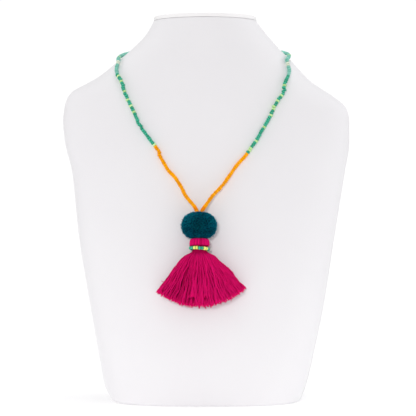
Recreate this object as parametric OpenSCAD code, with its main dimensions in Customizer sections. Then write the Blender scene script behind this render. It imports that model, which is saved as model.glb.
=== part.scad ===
// Tassel necklace hung on a plain neck bust: a closed string of seed beads, a cut yarn pompom,
// and a fanned yarn tassel whose throat is bound with a ring of seed beads.
// Millimetres. +Z is up and the bust faces -Y. The origin is the middle of the face it stands on.

/* [Neck bust] */
// Height of the form, up to the seam under its cap
bust_h = 380; // [330:1:430]
// Breadth across the shoulders
shoulder_w = 290; // [250:1:330]
// Depth of the chest at the base, in front of the neck's middle
chest_d = 76; // [64:1:90]
// Depth of the back, behind the neck's middle
back_d = 50; // [42:1:60]
// Thickness of the cap that closes the neck
cap_t = 4; // [3:0.5:8]
// Rounding of the cap's upper edge
cap_round = 1.6; // [0.5:0.1:2.5]
// Dark seam left between the neck and its cap
cap_seam = 0.3; // [0.2:0.1:1]

/* [Bead string] */
// Diameter of the string's seed beads
bead_d = 3.8; // [2.6:0.1:4.2]
// Length that one threaded bead takes up
bead_pitch = 2.3; // [1.8:0.1:2.8]
// Orange beads on the left, up from the pompom
orange_left = 35; // [20:1:50]
// Orange beads on the right, up from the pompom
orange_right = 33; // [20:1:50]
// Distance between the two ends of the string where they enter the pompom
string_spread = 5.4; // [4.8:0.1:8]

/* [Clasp] */
// Diameter of the barrel clasp at the nape
clasp_d = 5; // [4.4:0.1:7]
// Length of the barrel clasp
clasp_l = 12; // [8:0.5:16]

/* [Pompom] */
// Width of the pompom
pompom_w = 33.5; // [26:0.5:42]
// Height of the pompom
pompom_h = 25.5; // [20:0.5:34]
// Thickness of the pompom, from the chest to its front
pompom_d = 30; // [24:0.5:38]
// How far the cut tufts stand out
tuft = 1; // [0.3:0.1:2]

/* [Tassel] */
// Width of the rolled head of the tassel
head_w = 19.6; // [17:0.2:24]
// Width of the throat under the bead band
throat_w = 13.4; // [11:0.2:15]
// Drop from the top of the head to the middle of the bead band
band_drop = 10; // [9:0.5:14]
// Length of the yarn from the top of the head to the hem
yarn_l = 65; // [50:1:90]
// Angle that the yarn fans out to on each side
fan = 41.5; // [20:0.5:55]
// Thickness of the skirt at its hem
skirt_d = 25; // [18:1:34]
// Locks of yarn round the skirt
locks = 32; // [20:1:40]

/* [Bead band] */
// Diameter of the seed beads round the throat
band_bead_d = 3.4; // [2.6:0.1:3.8]
// Slope of the bead band, down to the right
band_tilt = 4; // [0:0.5:6]

/* [Hidden] */

// Gap between pieces that lie on each other, and between pieces that are strung together
rest_gap = 0.4;
fit_gap = 0.3;

// Sections of the bust from its base to the seam under the cap. HEIGHT is a share of bust_h, LEFT
// and RIGHT are shares of half shoulder_w, FRONT is a share of chest_d and BACK a share of back_d.
// POWER is how square the section is, with 2 for an ellipse.
HEIGHT = 0;
LEFT = 1;
RIGHT = 2;
FRONT = 3;
BACK = 4;
POWER = 5;
SECTIONS = [
    [0.000, 0.655, 0.655, 1.000, 0.90, 3.4],
    [0.040, 0.705, 0.695, 0.985, 0.93, 3.4],
    [0.100, 0.735, 0.735, 0.965, 0.96, 3.3],
    [0.250, 0.806, 0.818, 0.893, 1.00, 3.1],
    [0.420, 0.882, 0.890, 0.795, 1.00, 2.9],
    [0.600, 0.935, 0.968, 0.665, 0.99, 2.7],
    [0.680, 0.985, 1.000, 0.605, 0.97, 2.6],
    [0.735, 0.998, 1.000, 0.570, 0.95, 2.5],
    [0.768, 0.990, 0.980, 0.550, 0.93, 2.45],
    [0.790, 0.975, 0.925, 0.538, 0.91, 2.4],
    [0.812, 0.935, 0.840, 0.527, 0.89, 2.35],
    [0.833, 0.835, 0.755, 0.517, 0.865, 2.3],
    [0.855, 0.738, 0.690, 0.509, 0.84, 2.25],
    [0.876, 0.668, 0.641, 0.502, 0.815, 2.2],
    [0.897, 0.603, 0.589, 0.496, 0.79, 2.15],
    [0.920, 0.533, 0.528, 0.490, 0.77, 2.1],
    [0.962, 0.424, 0.430, 0.490, 0.75, 2.0],
    [1.000, 0.365, 0.352, 0.500, 0.74, 2.0]
];
RINGS_PER_ROW = 3;
BUST_SIDES = 48;

// The string's route over the bust, from the nape down to the last point before the pompom. Each
// row is a share of bust_h, a direction round the bust in degrees (0 is its right side, 90 its
// back, 180 its left and 270 its front) and how many bead_d the string is lifted off the bust.
LEFT_ROUTE = [
    [0.945, 105, 0.15],
    [0.942, 122, 0.05],
    [0.933, 140, 0.00],
    [0.918, 160, 0.05],
    [0.905, 177, 0.05],
    [0.895, 192, 0.05],
    [0.885, 202, 0.05],
    [0.873, 208, 0.05],
    [0.860, 214, 0.05],
    [0.845, 222.5, 0.10],
    [0.830, 230.5, 0.10],
    [0.808, 237.5, 0.05],
    [0.788, 241, 0.00],
    [0.746, 246, 0.00],
    [0.718, 248.5, 0.00],
    [0.705, 250, 0.00],
    [0.685, 252.5, 0.00],
    [0.650, 256.5, 0.00],
    [0.636, 257, 0.00],
    [0.618, 258.5, 0.00],
    [0.600, 260, 0.10],
    [0.580, 262.5, 0.30],
    [0.555, 264.5, 0.90],
    [0.530, 266, 1.65],
    [0.505, 268, 2.70]
];
RIGHT_ROUTE = [
    [0.945, 75, 0.15],
    [0.942, 58, 0.05],
    [0.933, 40, 0.00],
    [0.920, 20, 0.05],
    [0.910, 2, 0.05],
    [0.900, 346, 0.05],
    [0.890, 334, 0.05],
    [0.874, 328, 0.05],
    [0.860, 324.5, 0.05],
    [0.845, 318.5, 0.05],
    [0.826, 310, 0.10],
    [0.808, 304.5, 0.05],
    [0.790, 299, 0.00],
    [0.772, 294.5, 0.00],
    [0.735, 290.2, 0.00],
    [0.700, 286.4, 0.00],
    [0.684, 285, 0.00],
    [0.660, 282.4, 0.00],
    [0.634, 279.8, 0.00],
    [0.610, 277, 0.05],
    [0.590, 275.4, 0.20],
    [0.555, 272.7, 0.90],
    [0.530, 270.8, 1.65],
    [0.505, 270, 2.70]
];
STRING_SIDES = 8;
RING_EVERY = 2;
STEPS_PER_SPAN = 6;

// Where the pendant hangs: the height of the pompom's middle as a share of bust_h, and how far it
// hangs to the left of the bust's middle as a share of half shoulder_w
HANG_HEIGHT = 0.454;
HANG_ASIDE = -0.043;

// The rolled head of the tassel: how far down from its top, as a share of the way to the band, and
// how far out, as a share of the way from the throat to its widest
HEAD_ROLL = [
    [0.00, -0.35],
    [0.05, 0.25],
    [0.18, 0.72],
    [0.40, 0.94],
    [0.65, 1.00],
    [0.85, 1.00],
    [0.95, 0.85],
    [1.00, 0.00]
];
SKIRT_RINGS = 8;

// How far the skirt's middle swings to the right in degrees, how deep its hem is hollowed as a share
// of yarn_l, and how far the hem's back sinks towards the chest as a share of skirt_d
SKIRT_ASIDE = 2.2;
HEM_HOLLOW = 0.31;
HEM_SINK = 0.04;

POINTS_PER_LOCK = 4;
POMPOM_RINGS = 17;
POMPOM_SIDES = 40;
GOLDEN = 137.5;

function half_way(a, b, t) = a + (b - a) * t;

function eased(t) = t * t * (3 - 2 * t);

function row_below(rows, h, i = 0) =
    i >= len(rows) - 2 || h < rows[i + 1][HEIGHT] ? i : row_below(rows, h, i + 1);

function slope_after(rows, column, i) =
    (rows[i + 1][column] - rows[i][column]) / (rows[i + 1][HEIGHT] - rows[i][HEIGHT]);

// Slope of a column at a row, which never lets the curve overshoot its rows
function slope_at(rows, column, i) =
    let (before = slope_after(rows, column, max(i - 1, 0)),
         after = slope_after(rows, column, min(i, len(rows) - 2)))
    before * after <= 0 ? 0 : 2 * before * after / (before + after);

// Value of a column at any height, on a smooth curve through the rows
function section(column, h, rows = SECTIONS) =
    let (i = row_below(rows, h),
         span = rows[i + 1][HEIGHT] - rows[i][HEIGHT],
         t = (h - rows[i][HEIGHT]) / span)
    half_way(rows[i][column], rows[i + 1][column], eased(t))
    + span * slope_at(rows, column, i) * t * (1 - t) * (1 - t)
    - span * slope_at(rows, column, i + 1) * t * t * (1 - t);

function squared(c, power) = sign(c) * pow(abs(c), 2 / power);

function half_width(h, turn) = shoulder_w / 2 * section(cos(turn) > 0 ? RIGHT : LEFT, h);

function half_depth(h, turn) =
    sin(turn) > 0 ? back_d * section(BACK, h) : chest_d * section(FRONT, h);

// Point on the bust at a share of its height and a direction round it
function on_bust(h, turn) =
    let (power = section(POWER, h))
    [half_width(h, turn) * squared(cos(turn), power),
     half_depth(h, turn) * squared(sin(turn), power),
     bust_h * h];

function outward(h, turn) =
    let (step = 0.002,
         up = on_bust(min(h + step, 1), turn) - on_bust(h - step, turn),
         along = on_bust(h, turn + 0.2) - on_bust(h, turn - 0.2),
         normal = cross(along, up))
    normal / norm(normal);

// How far in front of the neck's middle the chest lies, at a height and a distance to the side
function chest_y(aside, h) =
    let (power = section(POWER, h),
         turn = aside > 0 ? 300 : 240)
    -chest_d * section(FRONT, h) * pow(1 - pow(abs(aside) / half_width(h, turn), power), 1 / power);

// The pendant's own frame: X is right, Z runs up the chest and -Y points away from it. Its origin
// lies just off the chest behind the pompom's middle.
hang_x = HANG_ASIDE * shoulder_w / 2;
hang_point = [hang_x, chest_y(hang_x, HANG_HEIGHT) - rest_gap, bust_h * HANG_HEIGHT];
lean = atan2(chest_y(hang_x, HANG_HEIGHT + 0.01) - chest_y(hang_x, HANG_HEIGHT - 0.01), 0.02 * bust_h);

module on_chest() {
    translate(hang_point) rotate([-lean, 0, 0]) children();
}

function from_chest(p) =
    hang_point + [p.x, p.y * cos(lean) + p.z * sin(lean), p.z * cos(lean) - p.y * sin(lean)];

// Closed solid through rings of points, each ring seen anticlockwise from the last ring's side.
// A first ring that is bent is closed by rungs from each point to the one across from it.
module skin(rings, bent = false) {
    sides = len(rings[0]);
    last = (len(rings) - 1) * sides;
    walls = [
        for (i = [0 : len(rings) - 2])
            for (j = [0 : sides - 1])
                let (a = i * sides + j, b = i * sides + (j + 1) % sides)
                each [[a, a + sides, b + sides], [a, b + sides, b]]
    ];
    rungs = [
        for (j = [0 : sides / 2 - 1])
            let (a = (sides - j) % sides, b = sides - j - 1)
            each concat(j > 0 ? [[j, j + 1, a]] : [], b > j + 1 ? [[j + 1, b, a]] : [])
    ];
    polyhedron(
        points = [for (ring = rings) each ring],
        faces = concat(
            bent ? rungs : [[for (j = [0 : sides - 1]) j]],
            walls,
            [[for (j = [sides - 1 : -1 : 0]) last + j]]
        )
    );
}

function ring_heights() = [
    for (i = [0 : len(SECTIONS) - 2])
        for (k = [0 : RINGS_PER_ROW - 1])
            half_way(SECTIONS[i][HEIGHT], SECTIONS[i + 1][HEIGHT], k / RINGS_PER_ROW),
    1
];

module bust_form() {
    color("whitesmoke")
        skin([
            for (h = ring_heights())
                [for (j = [0 : BUST_SIDES - 1]) on_bust(h, j * 360 / BUST_SIDES)]
        ]);
}

function cap_ring(inset, z) = [
    for (j = [0 : BUST_SIDES - 1])
        let (p = on_bust(1, j * 360 / BUST_SIDES), across = norm([p.x, p.y]))
        [p.x * (1 - inset / across), p.y * (1 - inset / across), z]
];

module neck_cap() {
    foot = bust_h + cap_seam;
    color("whitesmoke")
        skin(concat(
            [cap_ring(0, foot)],
            [
                for (a = [0 : 30 : 90])
                    cap_ring(cap_round * (1 - cos(a)), foot + cap_t - cap_round * (1 - sin(a)))
            ]
        ));
}

function string_centre(row) =
    on_bust(row[0], row[1]) + outward(row[0], row[1]) * (bead_d / 2 + rest_gap + row[2] * bead_d);

// Where the string enters the top of the pompom, on the left (-1) or the right (1). It comes in
// slanted, so the edge of its last bead is what clears the pompom.
function string_entry(side) =
    from_chest([side * string_spread / 2, -pompom_middle(), pompom_h / 2 + fit_gap + bead_d / 4]);

// Where the string meets the clasp, which lies on the bust at the nape
function clasp_centre() =
    on_bust(LEFT_ROUTE[0][0], 90) + outward(LEFT_ROUTE[0][0], 90) * (clasp_d / 2 + rest_gap);

function clasp_end(side) = clasp_centre() + [side * (clasp_l / 2 + 1.5 * fit_gap), 0, 0];

function string_points(side) = concat(
    [clasp_end(side)],
    [for (row = side < 0 ? LEFT_ROUTE : RIGHT_ROUTE) string_centre(row)],
    [string_entry(side)]
);

// Point on a curve that passes through b at t = 0 and c at t = 1
function on_curve(a, b, c, d, t) =
    0.5 * (2 * b + (c - a) * t + (2 * a - 5 * b + 4 * c - d) * t * t
        + (3 * b - a - 3 * c + d) * t * t * t);

function curve_through(points) =
    let (n = len(points) - 1)
    concat(
        [
            for (i = [0 : n - 1])
                for (k = [0 : STEPS_PER_SPAN - 1])
                    on_curve(points[max(i - 1, 0)], points[i], points[i + 1],
                        points[min(i + 2, n)], k / STEPS_PER_SPAN)
        ],
        [points[n]]
    );

function lengths_along(line) = [
    for (i = 0, run = 0;
        i < len(line);
        run = run + (i + 1 < len(line) ? norm(line[i + 1] - line[i]) : 0), i = i + 1)
        run
];

function at_length(line, runs, s) = [
    for (axis = [0 : 2])
        lookup(s, [for (i = [0 : len(line) - 1]) [runs[i], line[i][axis]]])
];

function ring_round(middle, along, radius) =
    let (side = cross(along, [middle.x, middle.y, 0]),
         u = side / norm(side),
         v = cross(u, along) / norm(along))
    [
        for (j = [0 : STRING_SIDES - 1])
            let (a = j * 360 / STRING_SIDES)
            middle + radius * (cos(a) * u + sin(a) * v)
    ];

// The length of string between two distances along its route, as one smooth tube
module string_length(line, runs, from, to) {
    count = ceil((to - from) / (RING_EVERY * bead_d));
    step = bead_d / 8;
    skin([
        for (i = [0 : count])
            let (s = half_way(from, to, i / count), ahead = at_length(line, runs, s + step),
                 behind = at_length(line, runs, s - step))
            ring_round(at_length(line, runs, s), ahead - behind, bead_d / 2)
    ]);
}

// One part of the string on both sides: the green beads run from the clasp to the orange ones
module string_part(green) {
    for (side = [-1, 1]) {
        line = curve_through(string_points(side));
        runs = lengths_along(line);
        whole = runs[len(runs) - 1];
        change = whole - bead_pitch * (side < 0 ? orange_left : orange_right);
        if (green) string_length(line, runs, 0, change - fit_gap / 2);
        else string_length(line, runs, change + fit_gap / 2, whole);
    }
}

module green_beads() {
    color("mediumaquamarine") string_part(true);
}

module orange_beads() {
    color("orange") string_part(false);
}

module clasp() {
    lip = clasp_d / 8;
    color("goldenrod")
        translate(clasp_centre())
            rotate([0, 90, 0])
                rotate_extrude($fn = 48)
                    polygon([
                        [0, -clasp_l / 2],
                        [clasp_d / 2 - lip, -clasp_l / 2],
                        [clasp_d / 2, -clasp_l / 2 + lip],
                        [clasp_d / 2, -lip],
                        [clasp_d / 2 - lip / 2, 0],
                        [clasp_d / 2, lip],
                        [clasp_d / 2, clasp_l / 2 - lip],
                        [clasp_d / 2 - lip, clasp_l / 2],
                        [0, clasp_l / 2]
                    ]);
}

// Distance from the chest's frame to the pompom's middle, which is also the tassel's own line
function pompom_middle() = pompom_d / 2;

// Cut tufts are raised and sunk by turns over a slightly squared ball
module pompom() {
    fullness = 2.3;
    color("teal")
        on_chest()
            translate([0, -pompom_middle(), 0])
                skin([
                    for (i = [0 : POMPOM_RINGS])
                        let (rise = half_way(-80, 80, i / POMPOM_RINGS))
                        [
                            for (j = [0 : POMPOM_SIDES - 1])
                                let (turn = j * 360 / POMPOM_SIDES,
                                     sunk = tuft * (i == 0 || i == POMPOM_RINGS ? 0 : (i + j) % 2),
                                     out = squared(cos(rise), fullness))
                                [(pompom_w / 2 - sunk) * out * cos(turn),
                                 (pompom_d / 2 - sunk) * out * sin(turn),
                                 (pompom_h / 2 - sunk * abs(sin(2 * rise)))
                                     * squared(sin(rise), fullness)]
                        ]
                ]);
}

band_half = (band_bead_d / 2 + fit_gap) + (throat_w / 2 + band_bead_d / 2) * sin(band_tilt);
head_h = band_drop - band_half;

// How far the locks stand out at a direction round the skirt, from 0 in a furrow to 1
function lock(turn) = abs(sin(turn * locks / 2));

function ragged(turn) = sin(GOLDEN * floor(turn * locks / 360));

// Ring of the tassel's head, at a drop from its top
function head_ring(drop, radius) = [
    for (j = [0 : locks * POINTS_PER_LOCK - 1])
        let (turn = j * 360 / (locks * POINTS_PER_LOCK),
             r = radius * (1 - 0.03 * (1 - lock(turn))))
        [r * cos(turn), r * sin(turn) - pompom_middle(), -drop]
];

// Ring of the skirt, at a share t of the way from the throat to the hem. Each lock runs from the
// throat to its own end on an arc about the top of the head. The back comes down onto the chest.
function skirt_ring(t, shrink = 1) =
    let (out = 0.65 * pow(t, 0.45) + 0.35 * t * t,
         fall = eased(t),
         middle = half_way(pompom_middle(), skirt_d * 0.2, fall),
         front = half_way(pompom_middle() + throat_w / 2, skirt_d, fall),
         back = half_way(pompom_middle() - throat_w / 2, -HEM_SINK * skirt_d, fall),
         furrow = half_way(0.03, 0.07, t))
    [
        for (j = [0 : locks * POINTS_PER_LOCK - 1])
            let (turn = j * 360 / (locks * POINTS_PER_LOCK),
                 full = shrink * (1 - furrow * (1 - lock(turn))),
                 reach = yarn_l * (1 + 0.015 * ragged(turn)),
                 spread = fan * cos(turn) + SKIRT_ASIDE,
                 deep = sin(turn) < 0 ? front - middle : middle - back)
            [full * half_way(throat_w / 2 * cos(turn), reach * sin(spread), out),
             full * deep * sin(turn) - middle,
             -half_way(band_drop + band_half, reach * cos(spread), t) + (1 - shrink) * HEM_HOLLOW * yarn_l]
    ];

module tassel() {
    color("mediumvioletred")
        on_chest()
            translate([0, 0, -pompom_h / 2 - fit_gap])
                skin(concat(
                    [skirt_ring(1, 0.6)],
                    [for (i = [SKIRT_RINGS : -1 : 0]) skirt_ring(i / SKIRT_RINGS)],
                    [
                        for (i = [len(HEAD_ROLL) - 1 : -1 : 0])
                            head_ring(HEAD_ROLL[i][0] * head_h,
                                half_way(throat_w, head_w, HEAD_ROLL[i][1]) / 2)
                    ]
                ), bent = true);
}

module bead_band() {
    color("yellowgreen")
        on_chest()
            translate([0, -pompom_middle(), -pompom_h / 2 - fit_gap - band_drop])
                rotate([0, band_tilt, 0])
                    rotate_extrude($fn = 64)
                        translate([throat_w / 2 + fit_gap + band_bead_d / 2, 0])
                            circle(d = band_bead_d, $fn = 32);
}

bust_form();
neck_cap();
green_beads();
orange_beads();
clasp();
pompom();
tassel();
bead_band();
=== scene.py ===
"""Tassel necklace of seed beads on a plain neck bust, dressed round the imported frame."""

import logging
import math
import random
from dataclasses import dataclass, field
from enum import Enum
from functools import cached_property
from typing import Callable, Sequence, TypeVar

import bmesh
import bpy
from mathutils import Matrix, Vector


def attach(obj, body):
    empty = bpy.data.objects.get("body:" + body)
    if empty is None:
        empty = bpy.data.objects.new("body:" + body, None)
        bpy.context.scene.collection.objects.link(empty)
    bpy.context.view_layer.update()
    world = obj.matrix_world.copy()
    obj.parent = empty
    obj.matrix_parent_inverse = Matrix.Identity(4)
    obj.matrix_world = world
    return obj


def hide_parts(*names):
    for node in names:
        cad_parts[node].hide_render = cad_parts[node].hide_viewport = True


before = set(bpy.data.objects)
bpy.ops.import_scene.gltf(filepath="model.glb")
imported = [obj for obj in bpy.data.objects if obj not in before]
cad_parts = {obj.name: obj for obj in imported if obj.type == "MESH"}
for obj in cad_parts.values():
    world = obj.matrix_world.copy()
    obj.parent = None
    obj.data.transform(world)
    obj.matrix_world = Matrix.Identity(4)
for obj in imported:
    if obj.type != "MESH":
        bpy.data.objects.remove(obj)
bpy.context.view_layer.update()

log = logging.getLogger("tassel_necklace")

MM = 0.001
TAU = 2 * math.pi
GOLDEN_TURN = math.pi * (3 - math.sqrt(5))
PICTURE_SIDE = 416
MERGE = 1e-7

# A direction that no path runs along, from which the frames along a path start
START_SIDE = Vector((0.31, 0.95, 0.05))

Colour = tuple[float, float, float, float]
Limits = tuple[float, float]
Spot = tuple[float, float]
Triple = tuple[float, float, float]
Outline = tuple[Spot, ...]
Place = Callable[[float, float], Vector]
Shares = Callable[[float, float], float]
Along = Callable[[float], float]
Knot = TypeVar("Knot", float, Vector)


class Side(Enum):
    """The two halves of the string, as the viewer sees them."""

    LEFT = -1
    RIGHT = 1


class Bead(Enum):
    """Colours of the seed beads. The value is the bead's tint, which its glass reads."""

    MAIN = 0.125
    YELLOW = 0.375
    # Mint is partly the glass's colour and partly painted glare near the nape; pale is painted
    # glare
    MINT = 0.625
    PALE_GLARE = 0.875

    # The orange glass has a deeper orange in the yellow's place
    DEEP = 0.375


# ---------------------------------------------------------------- shaders


class Wire:
    """A node's output socket that takes part in Python arithmetic."""

    def __init__(self, shader: "Shader", socket: bpy.types.NodeSocket | None) -> None:
        """Wrap a socket.

        Args:
            shader: The shader whose tree gets the Math nodes.
            socket: The output socket to wrap.
        """
        self.shader = shader
        self.socket = socket

    def _math(self, operation: str, first: object, second: object) -> "Wire":
        """Join two values with a Math node.

        Args:
            operation: Name of the Math node's operation.
            first: Number or wire of the first input.
            second: Number or wire of the second input.

        Returns:
            The result as a wire.
        """
        return self.shader.node("Math", {"operation": operation}, {0: first, 1: second})

    def __add__(self, other: object) -> "Wire":
        """Return self + other."""
        return self._math("ADD", self, other)

    def __radd__(self, other: object) -> "Wire":
        """Return other + self."""
        return self._math("ADD", other, self)

    def __sub__(self, other: object) -> "Wire":
        """Return self - other."""
        return self._math("SUBTRACT", self, other)

    def __rsub__(self, other: object) -> "Wire":
        """Return other - self."""
        return self._math("SUBTRACT", other, self)

    def __mul__(self, other: object) -> "Wire":
        """Return self * other."""
        return self._math("MULTIPLY", self, other)

    def __rmul__(self, other: object) -> "Wire":
        """Return other * self."""
        return self._math("MULTIPLY", other, self)

    def clamped(self) -> "Wire":
        """Return self held between 0 and 1."""
        return self.shader.node("Clamp", {}, {"Value": self})


class Shader:
    """The node tree of one material or of the world."""

    def __init__(self, owner: bpy.types.Material | bpy.types.World) -> None:
        """Start an empty tree.

        Args:
            owner: The new material or world that the tree belongs to.
        """
        self.owner = owner
        owner.use_nodes = True
        self.tree = owner.node_tree
        self.tree.nodes.clear()

    @classmethod
    def named(cls, name: str) -> "Shader":
        """Return the empty shader of a new material."""
        return cls(bpy.data.materials.new(name))

    def node(
        self,
        kind: str,
        settings: dict[str, object] | None = None,
        inputs: dict[object, object] | None = None,
        output: object = 0,
    ) -> Wire:
        """Make one node.

        Args:
            kind: The node's type without its ShaderNode prefix.
            settings: Properties set before the sockets. A ramp's stops go under "stops".
            inputs: A value or wire for each socket, by name or index.
            output: Name or index of the output socket to return.

        Returns:
            The chosen output as a wire.
        """
        made = self.tree.nodes.new("ShaderNode" + kind)
        for key, value in (settings or {}).items():
            if key == "stops":
                self._set_stops(made.color_ramp, value)
            else:
                setattr(made, key, value)
        for key, value in (inputs or {}).items():
            if isinstance(value, Wire):
                self.tree.links.new(value.socket, made.inputs[key])
            else:
                made.inputs[key].default_value = value
        return Wire(self, made.outputs[output] if made.outputs else None)

    @staticmethod
    def _set_stops(ramp: bpy.types.ColorRamp, colours: Sequence[Colour]) -> None:
        """Give a ramp equal steps of plain colour.

        Args:
            ramp: The ramp of a new node, which has two stops.
            colours: Colour of each step, in order.
        """
        ramp.interpolation = "CONSTANT"
        for index, colour in enumerate(colours):
            stop = ramp.elements[index] if index < 2 else ramp.elements.new(1.0)
            stop.position = index / len(colours)
            stop.color = colour

    def object_coordinates(self, scale: Sequence[float] = (1, 1, 1)) -> Wire:
        """Return the piece's own coordinates in metres, scaled along each axis."""
        place = self.node("TexCoord", output="Object")
        return self.node("Mapping", {}, {"Vector": place, "Scale": scale})

    def surface_coordinates(self, scale: Sequence[float]) -> Wire:
        """Return the piece's UV map, scaled round and along the piece."""
        place = self.node("UVMap", {"uv_map": "UVMap"})
        return self.node("Mapping", {}, {"Vector": place, "Scale": scale})

    def noise(self, place: Wire, scale: float, detail: float = 2.0, rough: float = 0.5) -> Wire:
        """Return the value of a noise texture.

        Args:
            place: Coordinates that the noise reads.
            scale: Waves for each unit of the coordinates.
            detail: Number of finer layers.
            rough: Share of the finer layers.

        Returns:
            The noise's value, about 0.5 on average.
        """
        sockets = {"Vector": place, "Scale": scale, "Detail": detail, "Roughness": rough}
        return self.node("TexNoise", {}, sockets, "Fac")

    def attribute(self, name: str) -> Wire:
        """Return a value that the mesh holds for each vertex."""
        return self.node("Attribute", {"attribute_name": name}, {}, "Fac")

    def mix(self, share: object, first: object, second: object) -> Wire:
        """Mix two colours.

        Args:
            share: Share of the second colour.
            first: The first colour.
            second: The second colour.

        Returns:
            The mixed colour.
        """
        return self.node("Mix", {"data_type": "RGBA"}, {0: share, 6: first, 7: second}, 2)

    def bump(self, height: Wire, depth: float, strength: float = 1.0) -> Wire:
        """Turn a height into a normal.

        Args:
            height: Height between 0 and 1.
            depth: Depth in metres that a height of 1 stands for.
            strength: Strength of the bump.

        Returns:
            The normal as a wire.
        """
        sockets = {"Height": height, "Distance": depth, "Strength": strength}
        return self.node("Bump", {}, sockets, "Normal")

    def principled(self, sockets: dict[str, object]) -> bpy.types.Material:
        """Finish the material with a Principled shader.

        Args:
            sockets: A value or wire for each of the shader's sockets.

        Returns:
            The finished material.
        """
        surface = self.node("BsdfPrincipled", {}, sockets)
        self.node("OutputMaterial", {}, {"Surface": surface})
        return self.owner


@dataclass(frozen=True)
class Leatherette:
    """Off-white coated cloth with a fine pebbled grain, stretched over the bust."""

    name: str = "leatherette"
    light: Colour = (0.855, 0.845, 0.863, 1)
    dark: Colour = (0.83, 0.815, 0.838, 1)
    mottles_per_metre: float = 18
    creases_per_metre: float = 240
    grains_per_metre: float = 850
    grain_depth: float = 0.10 * MM
    pebble_height: float = 0.7
    crease_height: float = 0.5
    roughness: float = 0.5
    crease_roughness: float = 0.16

    def material(self) -> bpy.types.Material:
        """Return the finish as a material."""
        shader = Shader.named(self.name)
        place = shader.object_coordinates()
        mottle = shader.noise(place, self.mottles_per_metre, 3)
        cell = {"Vector": place, "Scale": self.grains_per_metre, "Smoothness": 0.6}
        pebble = shader.node("TexVoronoi", {"feature": "SMOOTH_F1"}, cell, "Distance")
        crease = shader.noise(place, self.creases_per_metre, 4, 0.6)
        height = (1 - pebble) * self.pebble_height + crease * self.crease_height
        return shader.principled(
            {
                "Base Color": shader.mix(mottle, self.dark, self.light),
                "Roughness": self.roughness + crease * self.crease_roughness,
                "Normal": shader.bump(height, self.grain_depth, 0.45),
                "Specular IOR Level": 0.35,
                "Sheen Weight": 0.5,
                "Sheen Roughness": 0.4,
            }
        )


BUST_LEATHERETTE = Leatherette()
# Painted light: the cap wears a lighter copy of the leatherette, for the light that falls on the
# top of the neck
LIT_CAP_LEATHERETTE = Leatherette(
    "cap_leatherette_painted_light", light=(0.95, 0.935, 0.94, 1), dark=(0.92, 0.905, 0.91, 1)
)


@dataclass(frozen=True)
class SeedGlass:
    """Opaque pressed glass with a painted glow. A bead's tint picks its colour; its tone, random
    and painted shade at the ends, darkens it.
    """

    name: str
    colours: tuple[Colour, Colour, Colour, Colour]
    spread: float = 0.6
    gloss: float = 0.3
    roughness: float = 0.2
    # Painted light: strength of an emission in the glass's own colour, a glow that real beads
    # don't have
    glow: float = 0.06
    deeper: float = 1.35
    dimmer: float = 0.62
    clouds_per_metre: float = 900
    cloud_shade: float = 0.3
    cloud_roughness: float = 0.1
    coat_share: float = 0.2
    pits_per_metre: float = 2600
    pit_depth: float = 0.03 * MM

    def _deep(self, colour: Colour) -> Colour:
        """Return the darker colour that the tone mixes in: painted shade at a bead's ends and its
        darkest random tone.
        """
        return (*(value**self.deeper * self.dimmer for value in colour[:3]), 1.0)

    def material(self) -> bpy.types.Material:
        """Return the finish as a material."""
        shader = Shader.named(self.name)
        tint = shader.attribute("tint")
        body = shader.node("ValToRGB", {"stops": self.colours}, {"Fac": tint})
        deep = [self._deep(colour) for colour in self.colours]
        dim = shader.node("ValToRGB", {"stops": deep}, {"Fac": tint})
        place = shader.object_coordinates()
        cloud = shader.noise(place, self.clouds_per_metre)
        pits = shader.noise(place, self.pits_per_metre)
        # The tone darkens the glass: random for each bead, and painted shade at its ends
        shade = (1 - shader.attribute("tone")) * self.spread + (cloud - 0.5) * self.cloud_shade
        base = shader.mix(shade.clamped(), body, dim)
        return shader.principled(
            {
                "Base Color": base,
                # Painted glow: the glass gives off light of its own colour
                "Emission Color": base,
                "Emission Strength": self.glow,
                "Roughness": self.roughness + cloud * self.cloud_roughness,
                "Normal": shader.bump(pits, self.pit_depth, 0.4),
                "Coat Weight": self.gloss * self.coat_share,
                "Coat Roughness": 0.12,
                "IOR": 1.45,
                "Specular IOR Level": self.gloss,
            }
        )


GREEN_GLASS = SeedGlass(
    "green_glass",
    (
        (0.045, 0.47, 0.30, 1),
        (0.58, 0.88, 0.40, 1),
        # Mint, partly painted glare, and pale, painted glare
        (0.27, 0.66, 0.54, 1),
        (0.80, 0.88, 0.72, 1),
    ),
)
ORANGE_GLASS = SeedGlass(
    "orange_glass",
    (
        (1.0, 0.43, 0.001, 1),
        (1.0, 0.34, 0.001, 1),
        (1.0, 0.38, 0.002, 1),
        (1.0, 0.38, 0.002, 1),
    ),
    gloss=0.1,
    roughness=0.25,
    # A stronger painted glow on the orange glass
    glow=0.12,
)
LIME_GLASS = SeedGlass(
    "lime_glass",
    (
        (0.05, 0.50, 0.32, 1),
        (0.88, 0.94, 0.24, 1),
        (0.28, 0.74, 0.58, 1),
        (0.80, 0.88, 0.72, 1),
    ),
    spread=0.8,
)


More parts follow.
